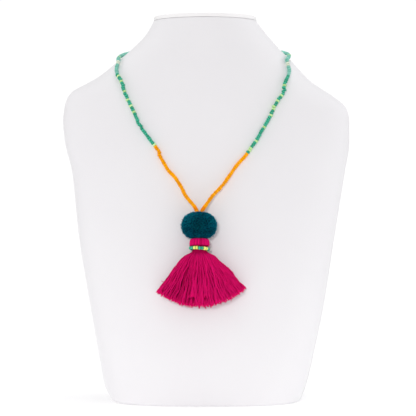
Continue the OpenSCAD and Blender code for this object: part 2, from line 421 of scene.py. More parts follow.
@dataclass(frozen=True)
class SpunYarn:
    """Soft cotton yarn, with its fibres running along and round each strand, darkened by the
    painted shade that its tint carries.
    """

    name: str
    light: Colour
    dark: Colour
    fuzz: Colour
    slubs_per_metre: float = 220
    fibres_round: float = 7
    fibres_along: float = 26
    fibre_depth: float = 0.16 * MM
    tone_share: float = 0.7
    slub_share: float = 0.4
    fibre_share: float = 0.5
    groove_and_shade_share: float = 0.4
    darker: float = 0.2
    roughness: float = 0.62
    fibre_roughness: float = 0.25

    def material(self) -> bpy.types.Material:
        """Return the finish as a material."""
        shader = Shader.named(self.name)
        # The tint carries painted shade: in the plies' grooves, under the bead band, under short
        # locks and at the head's top and bottom
        groove = shader.attribute("tint")
        slub = shader.noise(shader.object_coordinates(), self.slubs_per_metre, 3)
        along = shader.surface_coordinates((self.fibres_round, self.fibres_along, 1))
        fibre = shader.noise(along, 3.0, 3, 0.6)
        uneven = shader.attribute("tone") * self.tone_share + slub * self.slub_share
        shade = uneven + fibre * self.fibre_share - self.darker - groove * self.groove_and_shade_share
        return shader.principled(
            {
                "Base Color": shader.mix(shade.clamped(), self.dark, self.light),
                "Roughness": self.roughness + fibre * self.fibre_roughness,
                "Normal": shader.bump(fibre, self.fibre_depth, 0.7),
                "Specular IOR Level": 0.04,
                "Sheen Weight": 0.3,
                "Sheen Roughness": 0.35,
                "Sheen Tint": self.fuzz,
            }
        )


MAGENTA_COTTON = SpunYarn(
    "magenta_cotton",
    light=(1.0, 0.006, 0.21, 1),
    dark=(0.42, 0.0006, 0.066, 1),
    fuzz=(1.0, 0.06, 0.34, 1),
)


@dataclass(frozen=True)
class CutPile:
    """Cut wool ends with painted shade at their roots, deep in the pile, and lighter tips, partly
    random tone and partly painted highlight.
    """

    name: str
    root: Colour
    tip: Colour
    tip_tone_and_highlight: Colour
    rim: Colour
    patches_per_metre: float = 150
    specks_per_metre: float = 720
    tone_share: float = 0.7
    patch_share: float = 1.2
    speck_share: float = 2.4
    roughness: float = 0.8
    patch_roughness: float = 0.1

    def material(self) -> bpy.types.Material:
        """Return the finish as a material."""
        shader = Shader.named(self.name)
        # Painted shade towards the roots, and a painted highlight mixed in towards the tips by
        # tone
        reach = shader.attribute("tint")
        pile = shader.mix(reach, self.root, self.tip)
        place = shader.object_coordinates()
        patch = shader.noise(place, self.patches_per_metre)
        speck = shader.noise(place, self.specks_per_metre)
        tone = shader.attribute("tone") * self.tone_share + (patch - 0.5) * self.patch_share
        tone += (speck - 0.5) * self.speck_share
        share = tone.clamped() * reach
        return shader.principled(
            {
                "Base Color": shader.mix(share, pile, self.tip_tone_and_highlight),
                "Roughness": self.roughness + patch * self.patch_roughness,
                "Specular IOR Level": 0.02,
                "Sheen Weight": 1.0,
                "Sheen Roughness": 0.28,
                "Sheen Tint": self.rim,
            }
        )


TEAL_WOOL = CutPile(
    "teal_wool",
    root=(0.0001, 0.006, 0.013, 1),
    tip=(0.0004, 0.018, 0.041, 1),
    tip_tone_and_highlight=(0.0015, 0.170, 0.285, 1),
    rim=(0.01, 0.85, 1.0, 1),
)


@dataclass(frozen=True)
class GiltBrass:
    """Polished gilt brass with fine turning marks."""

    light: Colour = (0.86, 0.66, 0.34, 1)
    dark: Colour = (0.55, 0.38, 0.16, 1)
    marks_per_metre: Triple = (4000, 300, 300)
    mark_depth: float = 0.04 * MM
    stains_per_metre: float = 500
    roughness: float = 0.2
    mark_roughness: float = 0.2

    def material(self) -> bpy.types.Material:
        """Return the finish as a material."""
        shader = Shader.named("gilt_brass")
        turned = shader.noise(shader.object_coordinates(self.marks_per_metre), 1, 3)
        stain = shader.noise(shader.object_coordinates(), self.stains_per_metre, 3)
        return shader.principled(
            {
                "Base Color": shader.mix(stain, self.dark, self.light),
                "Metallic": 1.0,
                "Roughness": self.roughness + turned * self.mark_roughness,
                "Normal": shader.bump(turned, self.mark_depth, 0.5),
            }
        )


@dataclass(frozen=True)
class PaleFloor:
    """White paper under the bust, lit a little from below."""

    light: Colour = (0.93, 0.93, 0.93, 1)
    dark: Colour = (0.90, 0.90, 0.905, 1)
    glow: float = 0.2
    flecks_per_metre: float = 40
    roughness: float = 0.8
    fleck_roughness: float = 0.1

    def material(self) -> bpy.types.Material:
        """Return the finish as a material."""
        shader = Shader.named("pale_floor")
        fleck = shader.noise(shader.object_coordinates(), self.flecks_per_metre)
        return shader.principled(
            {
                "Base Color": shader.mix(fleck, self.dark, self.light),
                "Roughness": self.roughness + fleck * self.fleck_roughness,
                "Emission Color": (1, 1, 1, 1),
                "Emission Strength": self.glow,
            }
        )


# ---------------------------------------------------------------- paths


def blend(first: float, last: float, share: float) -> float:
    """Return the value at a share of the way from first to last."""
    return first + (last - first) * share


def held(value: float, low: float = 0.0, high: float = 1.0) -> float:
    """Return a value held between two limits."""
    return min(high, max(low, value))


def eased(share: float) -> float:
    """Return a share that starts and ends slowly and stays between 0 and 1."""
    share = held(share)
    return share * share * (3 - 2 * share)


def ramp(place: float, start: float, end: float) -> float:
    """Return a share that goes smoothly from 0 at the start to 1 at the end."""
    return eased((place - start) / (end - start))


def between(knots: Sequence[Knot], index: int, share: float) -> Knot:
    """Return a place on the smooth curve through knots.

    Args:
        knots: Numbers or points that the curve passes through.
        index: The knot before the place.
        share: Share of the way from that knot to the next one.

    Returns:
        The number or point there.
    """
    a, b = knots[max(index - 1, 0)], knots[index]
    c, d = knots[index + 1], knots[min(index + 2, len(knots) - 1)]
    bend = (2 * a - 5 * b + 4 * c - d) * share**2 + (3 * b - a - 3 * c + d) * share**3
    return 0.5 * (2 * b + (c - a) * share + bend)


def curve(values: Sequence[float], share: float) -> float:
    """Return the value at a share of the way along a smooth curve through even steps."""
    last = len(values) - 1
    index = min(int(share * last), last - 1)
    return between(values, index, share * last - index)


def level_way(turn: float) -> Vector:
    """Return the level direction at a turn in radians about the Z axis."""
    return Vector((math.cos(turn), math.sin(turn), 0))


def facing(way: Vector) -> Matrix:
    """Return the turn that points the Z axis along a direction."""
    return way.to_track_quat("Z", "Y").to_matrix().to_4x4()


def jitter(draw: random.Random, spread: float) -> Vector:
    """Return a small random step of a given spread in all three directions."""
    return Vector([draw.gauss(0, spread) for _ in range(3)])


def quarter_round(radius: float, steps: int) -> list[Spot]:
    """Return a quarter circle that leaves one face and runs into the next.

    Args:
        radius: Its radius.
        steps: Number of equal steps.

    Returns:
        For each point, its distance from the second face and from the first.
    """
    turns = [math.pi / 2 * step / steps for step in range(steps + 1)]
    return [(radius * (1 - math.sin(turn)), radius * (1 - math.cos(turn))) for turn in turns]


@dataclass(frozen=True)
class Frame:
    """A point on a path with its direction and two directions across it."""

    point: Vector
    ahead: Vector
    side: Vector

    def around(self, turn: float, radius: float) -> Vector:
        """Return the point at a turn in radians and a distance from the path."""
        up = self.ahead.cross(self.side)
        return self.point + (self.side * math.cos(turn) + up * math.sin(turn)) * radius


@dataclass(frozen=True)
class Path:
    """A line through close points."""

    points: tuple[Vector, ...]

    @classmethod
    def through(cls, knots: Sequence[Vector], steps: int) -> "Path":
        """Return the smooth path through knots.

        Args:
            knots: Points that the path passes through.
            steps: Points from one knot to the next.

        Returns:
            The path.
        """
        starts = range(len(knots) - 1)
        points = [between(knots, at, step / steps) for at in starts for step in range(steps)]
        return cls((*points, knots[-1]))

    @cached_property
    def runs(self) -> tuple[float, ...]:
        """Length from the start to each point."""
        runs = [0.0]
        for first, second in zip(self.points, self.points[1:]):
            runs.append(runs[-1] + (second - first).length)
        return tuple(runs)

    @property
    def length(self) -> float:
        """The whole length."""
        return self.runs[-1]

    def at(self, run: float) -> Vector:
        """Return the point at a length from the start, or straight on beyond an end."""
        index = 0
        while index < len(self.runs) - 2 and self.runs[index + 1] < run:
            index += 1
        share = (run - self.runs[index]) / (self.runs[index + 1] - self.runs[index])
        return self.points[index].lerp(self.points[index + 1], share)

    def spaced(self, count: int) -> "Path":
        """Return the same path through evenly spaced points, count of them after the first."""
        return Path(tuple(self.at(self.length * step / count) for step in range(count + 1)))

    def softened(self, passes: int) -> "Path":
        """Return the path with its bends rounded and its ends kept."""
        points = list(self.points)
        for _ in range(passes):
            inner = [(a + 2 * b + c) / 4 for a, b, c in zip(points, points[1:], points[2:])]
            points = [points[0], *inner, points[-1]]
        return Path(tuple(points))

    def moved(self, matrix: Matrix) -> "Path":
        """Return the path moved by a matrix."""
        return Path(tuple(matrix @ point for point in self.points))

    def frames(self) -> list[Frame]:
        """Return a frame for each point, carried along without twisting."""
        last = len(self.points) - 1
        frames: list[Frame] = []
        side = START_SIDE
        for index, point in enumerate(self.points):
            step = self.points[min(index + 1, last)] - self.points[max(index - 1, 0)]
            ahead = step.normalized()
            side = (side - ahead * side.dot(ahead)).normalized()
            frames.append(Frame(point, ahead, side))
        return frames


# ---------------------------------------------------------------- mesh making


@dataclass
class Blank:
    """A piece in the making, with a UV map and two values for each vertex."""

    name: str
    mesh: bmesh.types.BMesh = field(default_factory=bmesh.new)

    def __post_init__(self) -> None:
        """Add the layers that the finishes read."""
        self.mesh.loops.layers.uv.new("UVMap")
        self.mesh.verts.layers.float.new("tone")
        self.mesh.verts.layers.float.new("tint")

    def paint(self, verts: Sequence[bmesh.types.BMVert], tone: float, tint: float = 0.0) -> None:
        """Set both values of some vertices."""
        layers = self.mesh.verts.layers.float
        for vert in verts:
            vert[layers["tone"]] = tone
            vert[layers["tint"]] = tint

    def roll(
        self, columns: int, rows: int, place: Place, tone: float = 0.5, tint: Shares | None = None
    ) -> None:
        """Roll a flat grid up into a surface.

        Args:
            columns: Faces across the grid, which usually go round the piece.
            rows: Faces along the grid.
            place: Position for a share across and a share along, each from 0 to 1.
            tone: Value for the whole surface.
            tint: Second value for the two shares.
        """
        layers = self.mesh.verts.layers.float
        tones, tints = layers["tone"], layers["tint"]
        grid = bmesh.ops.create_grid(
            self.mesh, x_segments=columns, y_segments=rows, size=0.5, calc_uvs=True
        )["verts"]
        for vert in grid:
            across, along = vert.co.x + 0.5, vert.co.y + 0.5
            vert[tones] = tone
            vert[tints] = tint(across, along) if tint else 0.0
            vert.co = place(across, along)
        bmesh.ops.remove_doubles(self.mesh, verts=grid, dist=MERGE)

    def tube(
        self,
        path: Path,
        columns: int,
        radius: Shares,
        tone: float = 0.5,
        tint: Shares | None = None,
        twist: float = 0.0,
        phase: float = 0.0,
    ) -> None:
        """Roll a tube round a path, closed at both ends.

        Args:
            path: The tube's middle line.
            columns: Faces round it.
            radius: Radius for a share round and a share along.
            tone: Value for the whole tube.
            tint: Second value for the two shares.
            twist: Turn in radians for each metre.
            phase: Turn at the start in radians.
        """
        frames, runs = path.frames(), path.runs
        rows = len(frames) - 1

        def place(across: float, along: float) -> Vector:
            """Return a point of the tube."""
            row = round(along * rows)
            reach = 0.0 if row in (0, rows) else radius(across % 1.0, along)
            return frames[row].around(phase + twist * runs[row] + TAU * (across % 1.0), reach)

        self.roll(columns, rows, place, tone, tint)

    def spin(
        self, section: Sequence[Spot], columns: int, tone: float, closed: bool = False
    ) -> None:
        """Spin a section of radius and rise about the Z axis.

        Args:
            section: Radius and rise of each corner.
            columns: Faces round the axis.
            tone: Value for the whole surface.
            closed: Whether the section's last corner joins its first.
        """
        verts = [self.mesh.verts.new((radius, 0, rise)) for radius, rise in section]
        pairs = list(zip(verts, verts[1:])) + ([(verts[-1], verts[0])] if closed else [])
        edges = [self.mesh.edges.new(pair) for pair in pairs]
        bmesh.ops.spin(
            self.mesh, geom=verts + edges, axis=(0, 0, 1), angle=TAU, steps=columns, use_merge=True
        )
        bmesh.ops.remove_doubles(self.mesh, verts=self.mesh.verts, dist=MERGE)
        self.paint(self.mesh.verts, tone)

    def pin(self, root: Vector, tip: Vector, radii: Limits, sides: int, tone: float) -> None:
        """Add one straight fibre, closed at both ends, whose tint rises to 1 at its tip.

        Args:
            root: Middle of its lower end.
            tip: Middle of its upper end.
            radii: Radius at the root and at the tip.
            sides: Faces round it.
            tone: Its tone.
        """
        verts = bmesh.ops.create_cone(
            self.mesh,
            cap_ends=True,
            segments=sides,
            radius1=radii[0],
            radius2=radii[1],
            depth=(tip - root).length,
            matrix=Matrix.Translation((root + tip) / 2) @ facing(tip - root),
        )["verts"]
        self.paint(verts, tone)
        upper = [v for v in verts if (v.co - tip).length < (v.co - root).length]
        self.paint(upper, tone, 1.0)

    def pattern(self) -> bpy.types.Mesh:
        """Turn the blank into a small mesh that can be stamped into others."""
        bmesh.ops.recalc_face_normals(self.mesh, faces=self.mesh.faces)
        made = bpy.data.meshes.new(self.name)
        self.mesh.to_mesh(made)
        self.mesh.free()
        return made

    def stamp(
        self, pattern: bpy.types.Mesh, matrix: Matrix, tone: float | None = None, tint: float = 0.0
    ) -> None:
        """Add a copy of a pattern.

        Args:
            pattern: The mesh to copy.
            matrix: Where the copy goes.
            tone: Share of its own tones that the copy keeps, or None to keep both values.
            tint: Second value for the copy, where a tone is given.
        """
        copy = pattern.copy()
        copy.transform(matrix)
        if tone is not None:
            tones, tints = (copy.attributes[name].data for name in ("tone", "tint"))
            own = [0.0] * len(tones)
            tones.foreach_get("value", own)
            tones.foreach_set("value", [value * tone for value in own])
            tints.foreach_set("value", [tint] * len(tints))
        self.mesh.from_mesh(copy)
        bpy.data.meshes.remove(copy)

    def take(self, part: "Blank", matrix: Matrix | None = None) -> None:
        """Move another blank's mesh into this one."""
        pattern = part.pattern()
        self.stamp(pattern, matrix or Matrix())
        bpy.data.meshes.remove(pattern)

    def finish(self, material: bpy.types.Material, slot: str, *replaced: str) -> bpy.types.Object:
        """Turn the blank into a piece of the object.

        Args:
            material: The piece's material.
            slot: Name of a material slot; not used.
            replaced: CAD nodes that the piece stands for.

        Returns:
            The new object, which rides on the root body.
        """
        for face in self.mesh.faces:
            face.smooth = True
        data = self.pattern()
        data.materials.append(material)
        piece = bpy.data.objects.new(self.name, data)
        bpy.context.scene.collection.objects.link(piece)
        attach(piece, "root")
        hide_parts(*replaced)
        triangles = sum(len(face.vertices) - 2 for face in data.polygons)
        log.info("%s: %d triangles, stands for %s", self.name, triangles, ", ".join(replaced))
        return piece


def discard(patterns: Sequence[bpy.types.Mesh]) -> None:
    """Remove patterns whose copies have all been stamped."""
    for pattern in patterns:
        bpy.data.meshes.remove(pattern)


# ---------------------------------------------------------------- the bust


@dataclass(frozen=True)
class Level:
    """One level of the bust: its height and its reach each way, as shares of its sizes."""

    height: float
    left: float
    right: float
    front: float
    back: float
    power: float


LEVELS = tuple(
    Level(*row)
    for row in (
        (0.000, 0.655, 0.655, 1.000, 0.90, 3.4),
        (0.040, 0.705, 0.695, 0.985, 0.93, 3.4),
        (0.100, 0.735, 0.735, 0.965, 0.96, 3.3),
        (0.250, 0.806, 0.818, 0.893, 1.00, 3.1),
        (0.420, 0.882, 0.890, 0.795, 1.00, 2.9),
        (0.600, 0.935, 0.968, 0.665, 0.99, 2.7),
        (0.680, 0.985, 1.000, 0.605, 0.97, 2.6),
        (0.735, 0.998, 1.000, 0.570, 0.95, 2.5),
        (0.768, 0.990, 0.980, 0.550, 0.93, 2.45),
        (0.790, 0.975, 0.925, 0.538, 0.91, 2.4),
        (0.812, 0.935, 0.840, 0.527, 0.89, 2.35),
        (0.833, 0.835, 0.755, 0.517, 0.865, 2.3),
        (0.855, 0.738, 0.690, 0.509, 0.84, 2.25),
        (0.876, 0.668, 0.641, 0.502, 0.815, 2.2),
        (0.897, 0.603, 0.589, 0.496, 0.79, 2.15),
        (0.920, 0.533, 0.528, 0.490, 0.77, 2.1),
        (0.962, 0.424, 0.430, 0.490, 0.75, 2.0),
        (1.000, 0.365, 0.352, 0.500, 0.74, 2.0),
    )
)


def squared(value: float, power: float) -> float:
    """Return a cosine or sine bent towards a squarer section."""
    return math.copysign(abs(value) ** (2 / power), value)


@dataclass(frozen=True)
class NeckBust:
    """The display bust and the cap that closes its neck."""

    height: float = 380 * MM
    half_width: float = 145 * MM
    chest_depth: float = 76 * MM
    back_depth: float = 50 * MM
    cap_thickness: float = 4 * MM
    cap_round: float = 1.6 * MM
    cap_foot_round: float = 0.25 * MM
    seam: float = 0.3 * MM
    seam_round: float = 0.3 * MM
    foot_round: float = 2.2 * MM
    sole_recess: float = 1.2 * MM
    sole_rings: tuple[float, ...] = (1.0, 0.12, 0.05, 0.03, 0.012, 0.004)
    sole_rim: Spot = (3.2 * MM, 0.3 * MM)
    cap_foot_rings: tuple[float, ...] = (1.0, 0.02, 0.004)
    top_rings: tuple[float, ...] = (0.004, 0.012, 0.03, 1.0)
    columns: int = 144
    rows_up: int = 112
    probe_rise: float = 0.002
    probe_turn: float = 0.2

    def _slope(self, name: str, row: int) -> float:
        """Return the slope of a column at a row, which never overshoots its rows."""

        def after(index: int) -> float:
            """Return the slope from one row to the next."""
            low, high = LEVELS[index], LEVELS[index + 1]
            return (getattr(high, name) - getattr(low, name)) / (high.height - low.height)

        below, above = after(max(row - 1, 0)), after(min(row, len(LEVELS) - 2))
        return 0.0 if below * above <= 0 else 2 * below * above / (below + above)

    def share(self, name: str, height: float) -> float:
        """Return a column of the levels at any height.

        Args:
            name: The column's name.
            height: Share of the bust's height.

        Returns:
            The column's value on a smooth curve through the levels.
        """
        row = 0
        while row < len(LEVELS) - 2 and height >= LEVELS[row + 1].height:
            row += 1
        low, high = LEVELS[row], LEVELS[row + 1]
        span = high.height - low.height
        t = (height - low.height) / span
        return (
            blend(getattr(low, name), getattr(high, name), eased(t))
            + span * self._slope(name, row) * t * (1 - t) ** 2
            - span * self._slope(name, row + 1) * t * t * (1 - t)
        )

    def point(self, height: float, turn: float) -> Vector:
        """Return a point of the surface.

        Args:
            height: Share of the bust's height.
            turn: Direction in degrees, 0 at the right side and 270 at the front.

        Returns:
            The point in metres.
        """
        c, s = math.cos(math.radians(turn)), math.sin(math.radians(turn))
        power = self.share("power", height)
        wide = self.half_width * self.share("right" if c > 0 else "left", height)
        deep = (
            self.back_depth * self.share("back", height)
            if s > 0
            else self.chest_depth * self.share("front", height)
        )
        return Vector((wide * squared(c, power), deep * squared(s, power), self.height * height))

    def outward(self, height: float, turn: float) -> Vector:
        """Return the surface's outward direction at a height share and a turn in degrees."""
        low, high = height - self.probe_rise, min(height + self.probe_rise, 1)
        up = self.point(high, turn) - self.point(low, turn)
        right, left = turn + self.probe_turn, turn - self.probe_turn
        along = self.point(height, right) - self.point(height, left)
        return along.cross(up).normalized()

    def chest(self, aside: float, height: float) -> float:
        """Return the chest's Y at a distance to the side and a height share."""
        power = self.share("power", height)
        wide = self.half_width * self.share("right" if aside > 0 else "left", height)
        front = self.chest_depth * self.share("front", height)
        return -front * (1 - (abs(aside) / wide) ** power) ** (1 / power)

    def _drawn_in(self, height: float, turn: float, inset: float, z: float) -> Vector:
        """Return a point moved towards the middle by an inset and set at its own height."""
        point = self.point(height, turn)
        share = max(0.0, 1 - inset / math.hypot(point.x, point.y))
        return Vector((point.x * share, point.y * share, z))

    def build_form(self) -> Blank:
        """Return the bust's body, from the recessed sole to the seam under its cap."""
        low, high = self.foot_round, self.height - self.seam_round
        rises = [blend(low, high, step / self.rows_up) for step in range(1, self.rows_up)]
        foot = quarter_round(self.foot_round, 6)
        seam = quarter_round(self.seam_round, 4)
        rings = [*foot, *((0.0, z) for z in rises)]
        rings += [(inset, self.height - drop) for drop, inset in seam]
        rings += [(inset, self.height) for inset in self.top_rings]
        sole = [(0.0, inset, self.sole_recess) for inset in self.sole_rings]
        wall = [(z / self.height, inset, z) for inset, z in rings]
        return self._stack("bust_leatherette", [*sole, (0.0, *self.sole_rim), *wall])

    def build_cap(self) -> Blank:
        """Return the cap with its rounded upper edge."""
        foot = self.height + self.seam
        top = foot + self.cap_thickness
        rings = [(inset, foot) for inset in self.cap_foot_rings]
        rings += [(inset, foot + rise) for inset, rise in quarter_round(self.cap_foot_round, 3)]
        rings += [(inset, top - drop) for drop, inset in quarter_round(self.cap_round, 6)]
        rings += [(inset, top) for inset in self.top_rings]
        return self._stack("neck_cap_leatherette", [(1.0, inset, z) for inset, z in rings])

    def _stack(self, name: str, stations: Sequence[Triple]) -> Blank:
        """Roll a closed surface through stations.

        Args:
            name: The piece's name.
            stations: Height share, inset and Z of each ring, from the bottom up.

        Returns:
            The closed blank.
        """
        rows = len(stations) - 1

        def place(across: float, along: float) -> Vector:
            """Return the point at a share round and a station."""
            height, inset, z = stations[round(along * rows)]
            turn = 360 * (across % 1.0)
            return self._drawn_in(height, turn, inset, z)

        blank = Blank(name)
        blank.roll(self.columns, rows, place)
        return blank

    def dress(self) -> None:
        """Build both pieces and give them their finish."""
        self.build_form().finish(BUST_LEATHERETTE.material(), "leatherette", "bust_form")
        self.build_cap().finish(LIT_CAP_LEATHERETTE.material(), "leatherette", "neck_cap")


# ---------------------------------------------------------------- where the pendant hangs


@dataclass(frozen=True)
class Hanger:
    """The frame that the pompom and tassel hang in, lying on the slope of the chest."""

    bust: NeckBust
    height: float = 0.454
    aside: float = -0.043
    rest_gap: float = 0.4 * MM
    pompom_depth: float = 30 * MM
    pompom_height: float = 25.5 * MM
    fit_gap: float = 0.3 * MM
    probe: float = 0.01

    def matrix(self) -> Matrix:
        """Return the matrix from the pendant's frame to the object's."""
        x = self.aside * self.bust.half_width
        low, here, high = (
            self.bust.chest(x, self.height + step) for step in (-self.probe, 0, self.probe)
        )
        lean = math.atan2(high - low, 2 * self.probe * self.bust.height)
        origin = (x, here - self.rest_gap, self.bust.height * self.height)
        return Matrix.Translation(origin) @ Matrix.Rotation(-lean, 4, "X")

    @property
    def middle(self) -> float:
        """Distance of the pendant's own line from the chest."""
        return self.pompom_depth / 2

    @property
    def tassel_top(self) -> float:
        """Height of the tassel's top in the pendant's frame."""
        return -self.pompom_height / 2 - self.fit_gap


# ---------------------------------------------------------------- the bead string


# The string's line over the bust from the nape to the pompom: share of the bust's height,
# turn in degrees (270 is the front), and lift off the bust in bead diameters
ROUTES: dict[Side, tuple[Triple, ...]] = {
    Side.LEFT: (
        (0.945, 105, 0.15),
        (0.942, 122, 0.05),
        (0.933, 140, 0.00),
        (0.918, 160, 0.05),
        (0.905, 177, 0.05),
        (0.895, 192, 0.05),
        (0.885, 202, 0.05),
        (0.873, 208, 0.05),
        (0.860, 214, 0.05),
        (0.845, 222.5, 0.10),
        (0.830, 230.5, 0.10),
        (0.808, 237.5, 0.05),
        (0.788, 241, 0.00),
        (0.746, 246, 0.00),
        (0.718, 248.5, 0.00),
        (0.705, 250, 0.00),
        (0.685, 252.5, 0.00),
        (0.650, 256.5, 0.00),
        (0.636, 257, 0.00),
        (0.618, 258.5, 0.00),
        (0.600, 260, 0.10),
        (0.580, 262.5, 0.30),
        (0.555, 264.5, 0.90),
        (0.530, 266, 1.65),
        (0.505, 268, 2.70),
    ),
    Side.RIGHT: (
        (0.945, 75, 0.15),
        (0.942, 58, 0.05),
        (0.933, 40, 0.00),
        (0.920, 20, 0.05),
        (0.910, 2, 0.05),
        (0.900, 346, 0.05),
        (0.890, 334, 0.05),
        (0.874, 328, 0.05),
        (0.860, 324.5, 0.05),
        (0.845, 318.5, 0.05),
        (0.826, 310, 0.10),
        (0.808, 304.5, 0.05),
        (0.790, 299, 0.00),
        (0.772, 294.5, 0.00),
        (0.735, 290.2, 0.00),
        (0.700, 286.4, 0.00),
        (0.684, 285, 0.00),
        (0.660, 282.4, 0.00),
        (0.634, 279.8, 0.00),
        (0.610, 277, 0.05),
        (0.590, 275.4, 0.20),
        (0.555, 272.7, 0.90),
        (0.530, 270.8, 1.65),
        (0.505, 270, 2.70),
    ),
}

# How many beads are orange, counted up from the pompom
ORANGE_BEADS = {Side.LEFT: 35, Side.RIGHT: 33}

# Numbers of the yellow beads, of the pale beads (painted glare) and of the first mint one (partly
# painted glare), counted up from the pompom
YELLOW_BEADS = {
    Side.LEFT: (35, 52, 55, 58, 62, 67, 70, 84, 97, 109, 121),
    Side.RIGHT: (34, 35, 39, 46, 52, 55, 56, 59, 62, 67, 86, 99, 112, 122),
}
PALE_GLARE_BEADS = {Side.LEFT: (78, 79), Side.RIGHT: (78, 79)}
MINT_FROM = {Side.LEFT: 72, Side.RIGHT: 73}

# Beads that stand out of line to the viewer's right, in bead diameters
PROUD_BEADS = {
    Side.LEFT: {35: 0.06, 45: 0.18, 47: -0.15, 58: -0.12, 62: 0.1, 65: 0.14, 67: -0.05, 71: -0.16},
    Side.RIGHT: {34: 0.1, 39: 0.15, 46: 0.12, 52: 0.14, 56: -0.14, 63: 0.12, 65: 0.2, 66: -0.12},
}


@dataclass(frozen=True)
class SeedBead:
    """Round pressed bead with a thread hole, one unit wide and one unit long."""

    columns: int = 12
    # Painted shade: vertices beyond this distance from the middle get tone 0, dark in the gaps
    # between beads
    end_shade_from: float = 0.37
    section: Outline = (
        (0.14, 0.40),
        (0.31, 0.50),
        (0.455, 0.35),
        (0.50, 0.0),
        (0.455, -0.35),
        (0.31, -0.50),
        (0.14, -0.40),
    )

    def pattern(self) -> bpy.types.Mesh:
        """Return the bead as a mesh to stamp, with painted shade at its ends."""
        blank = Blank("seed_bead")
        blank.spin(self.section, self.columns, 1.0, closed=True)
        # Painted shade in the gaps between beads: the ends get tone 0
        ends = [vert for vert in blank.mesh.verts if abs(vert.co.z) > self.end_shade_from]
        blank.paint(ends, 0.0)
        return blank.pattern()

    @staticmethod
    def seat(middle: Vector, axis: Vector, width: float, length: float, turn: float) -> Matrix:
        """Return the matrix that sets a bead in its place.

        Args:
            middle: The bead's middle.
            axis: Direction of its hole.
            width: Its diameter.
            length: Its length along the hole.
            turn: Its turn about the hole in radians.

        Returns:
            The matrix for a stamp.
        """
        size = Matrix.Diagonal((width, width, length, 1))
        return Matrix.Translation(middle) @ facing(axis) @ Matrix.Rotation(turn, 4, "Z") @ size


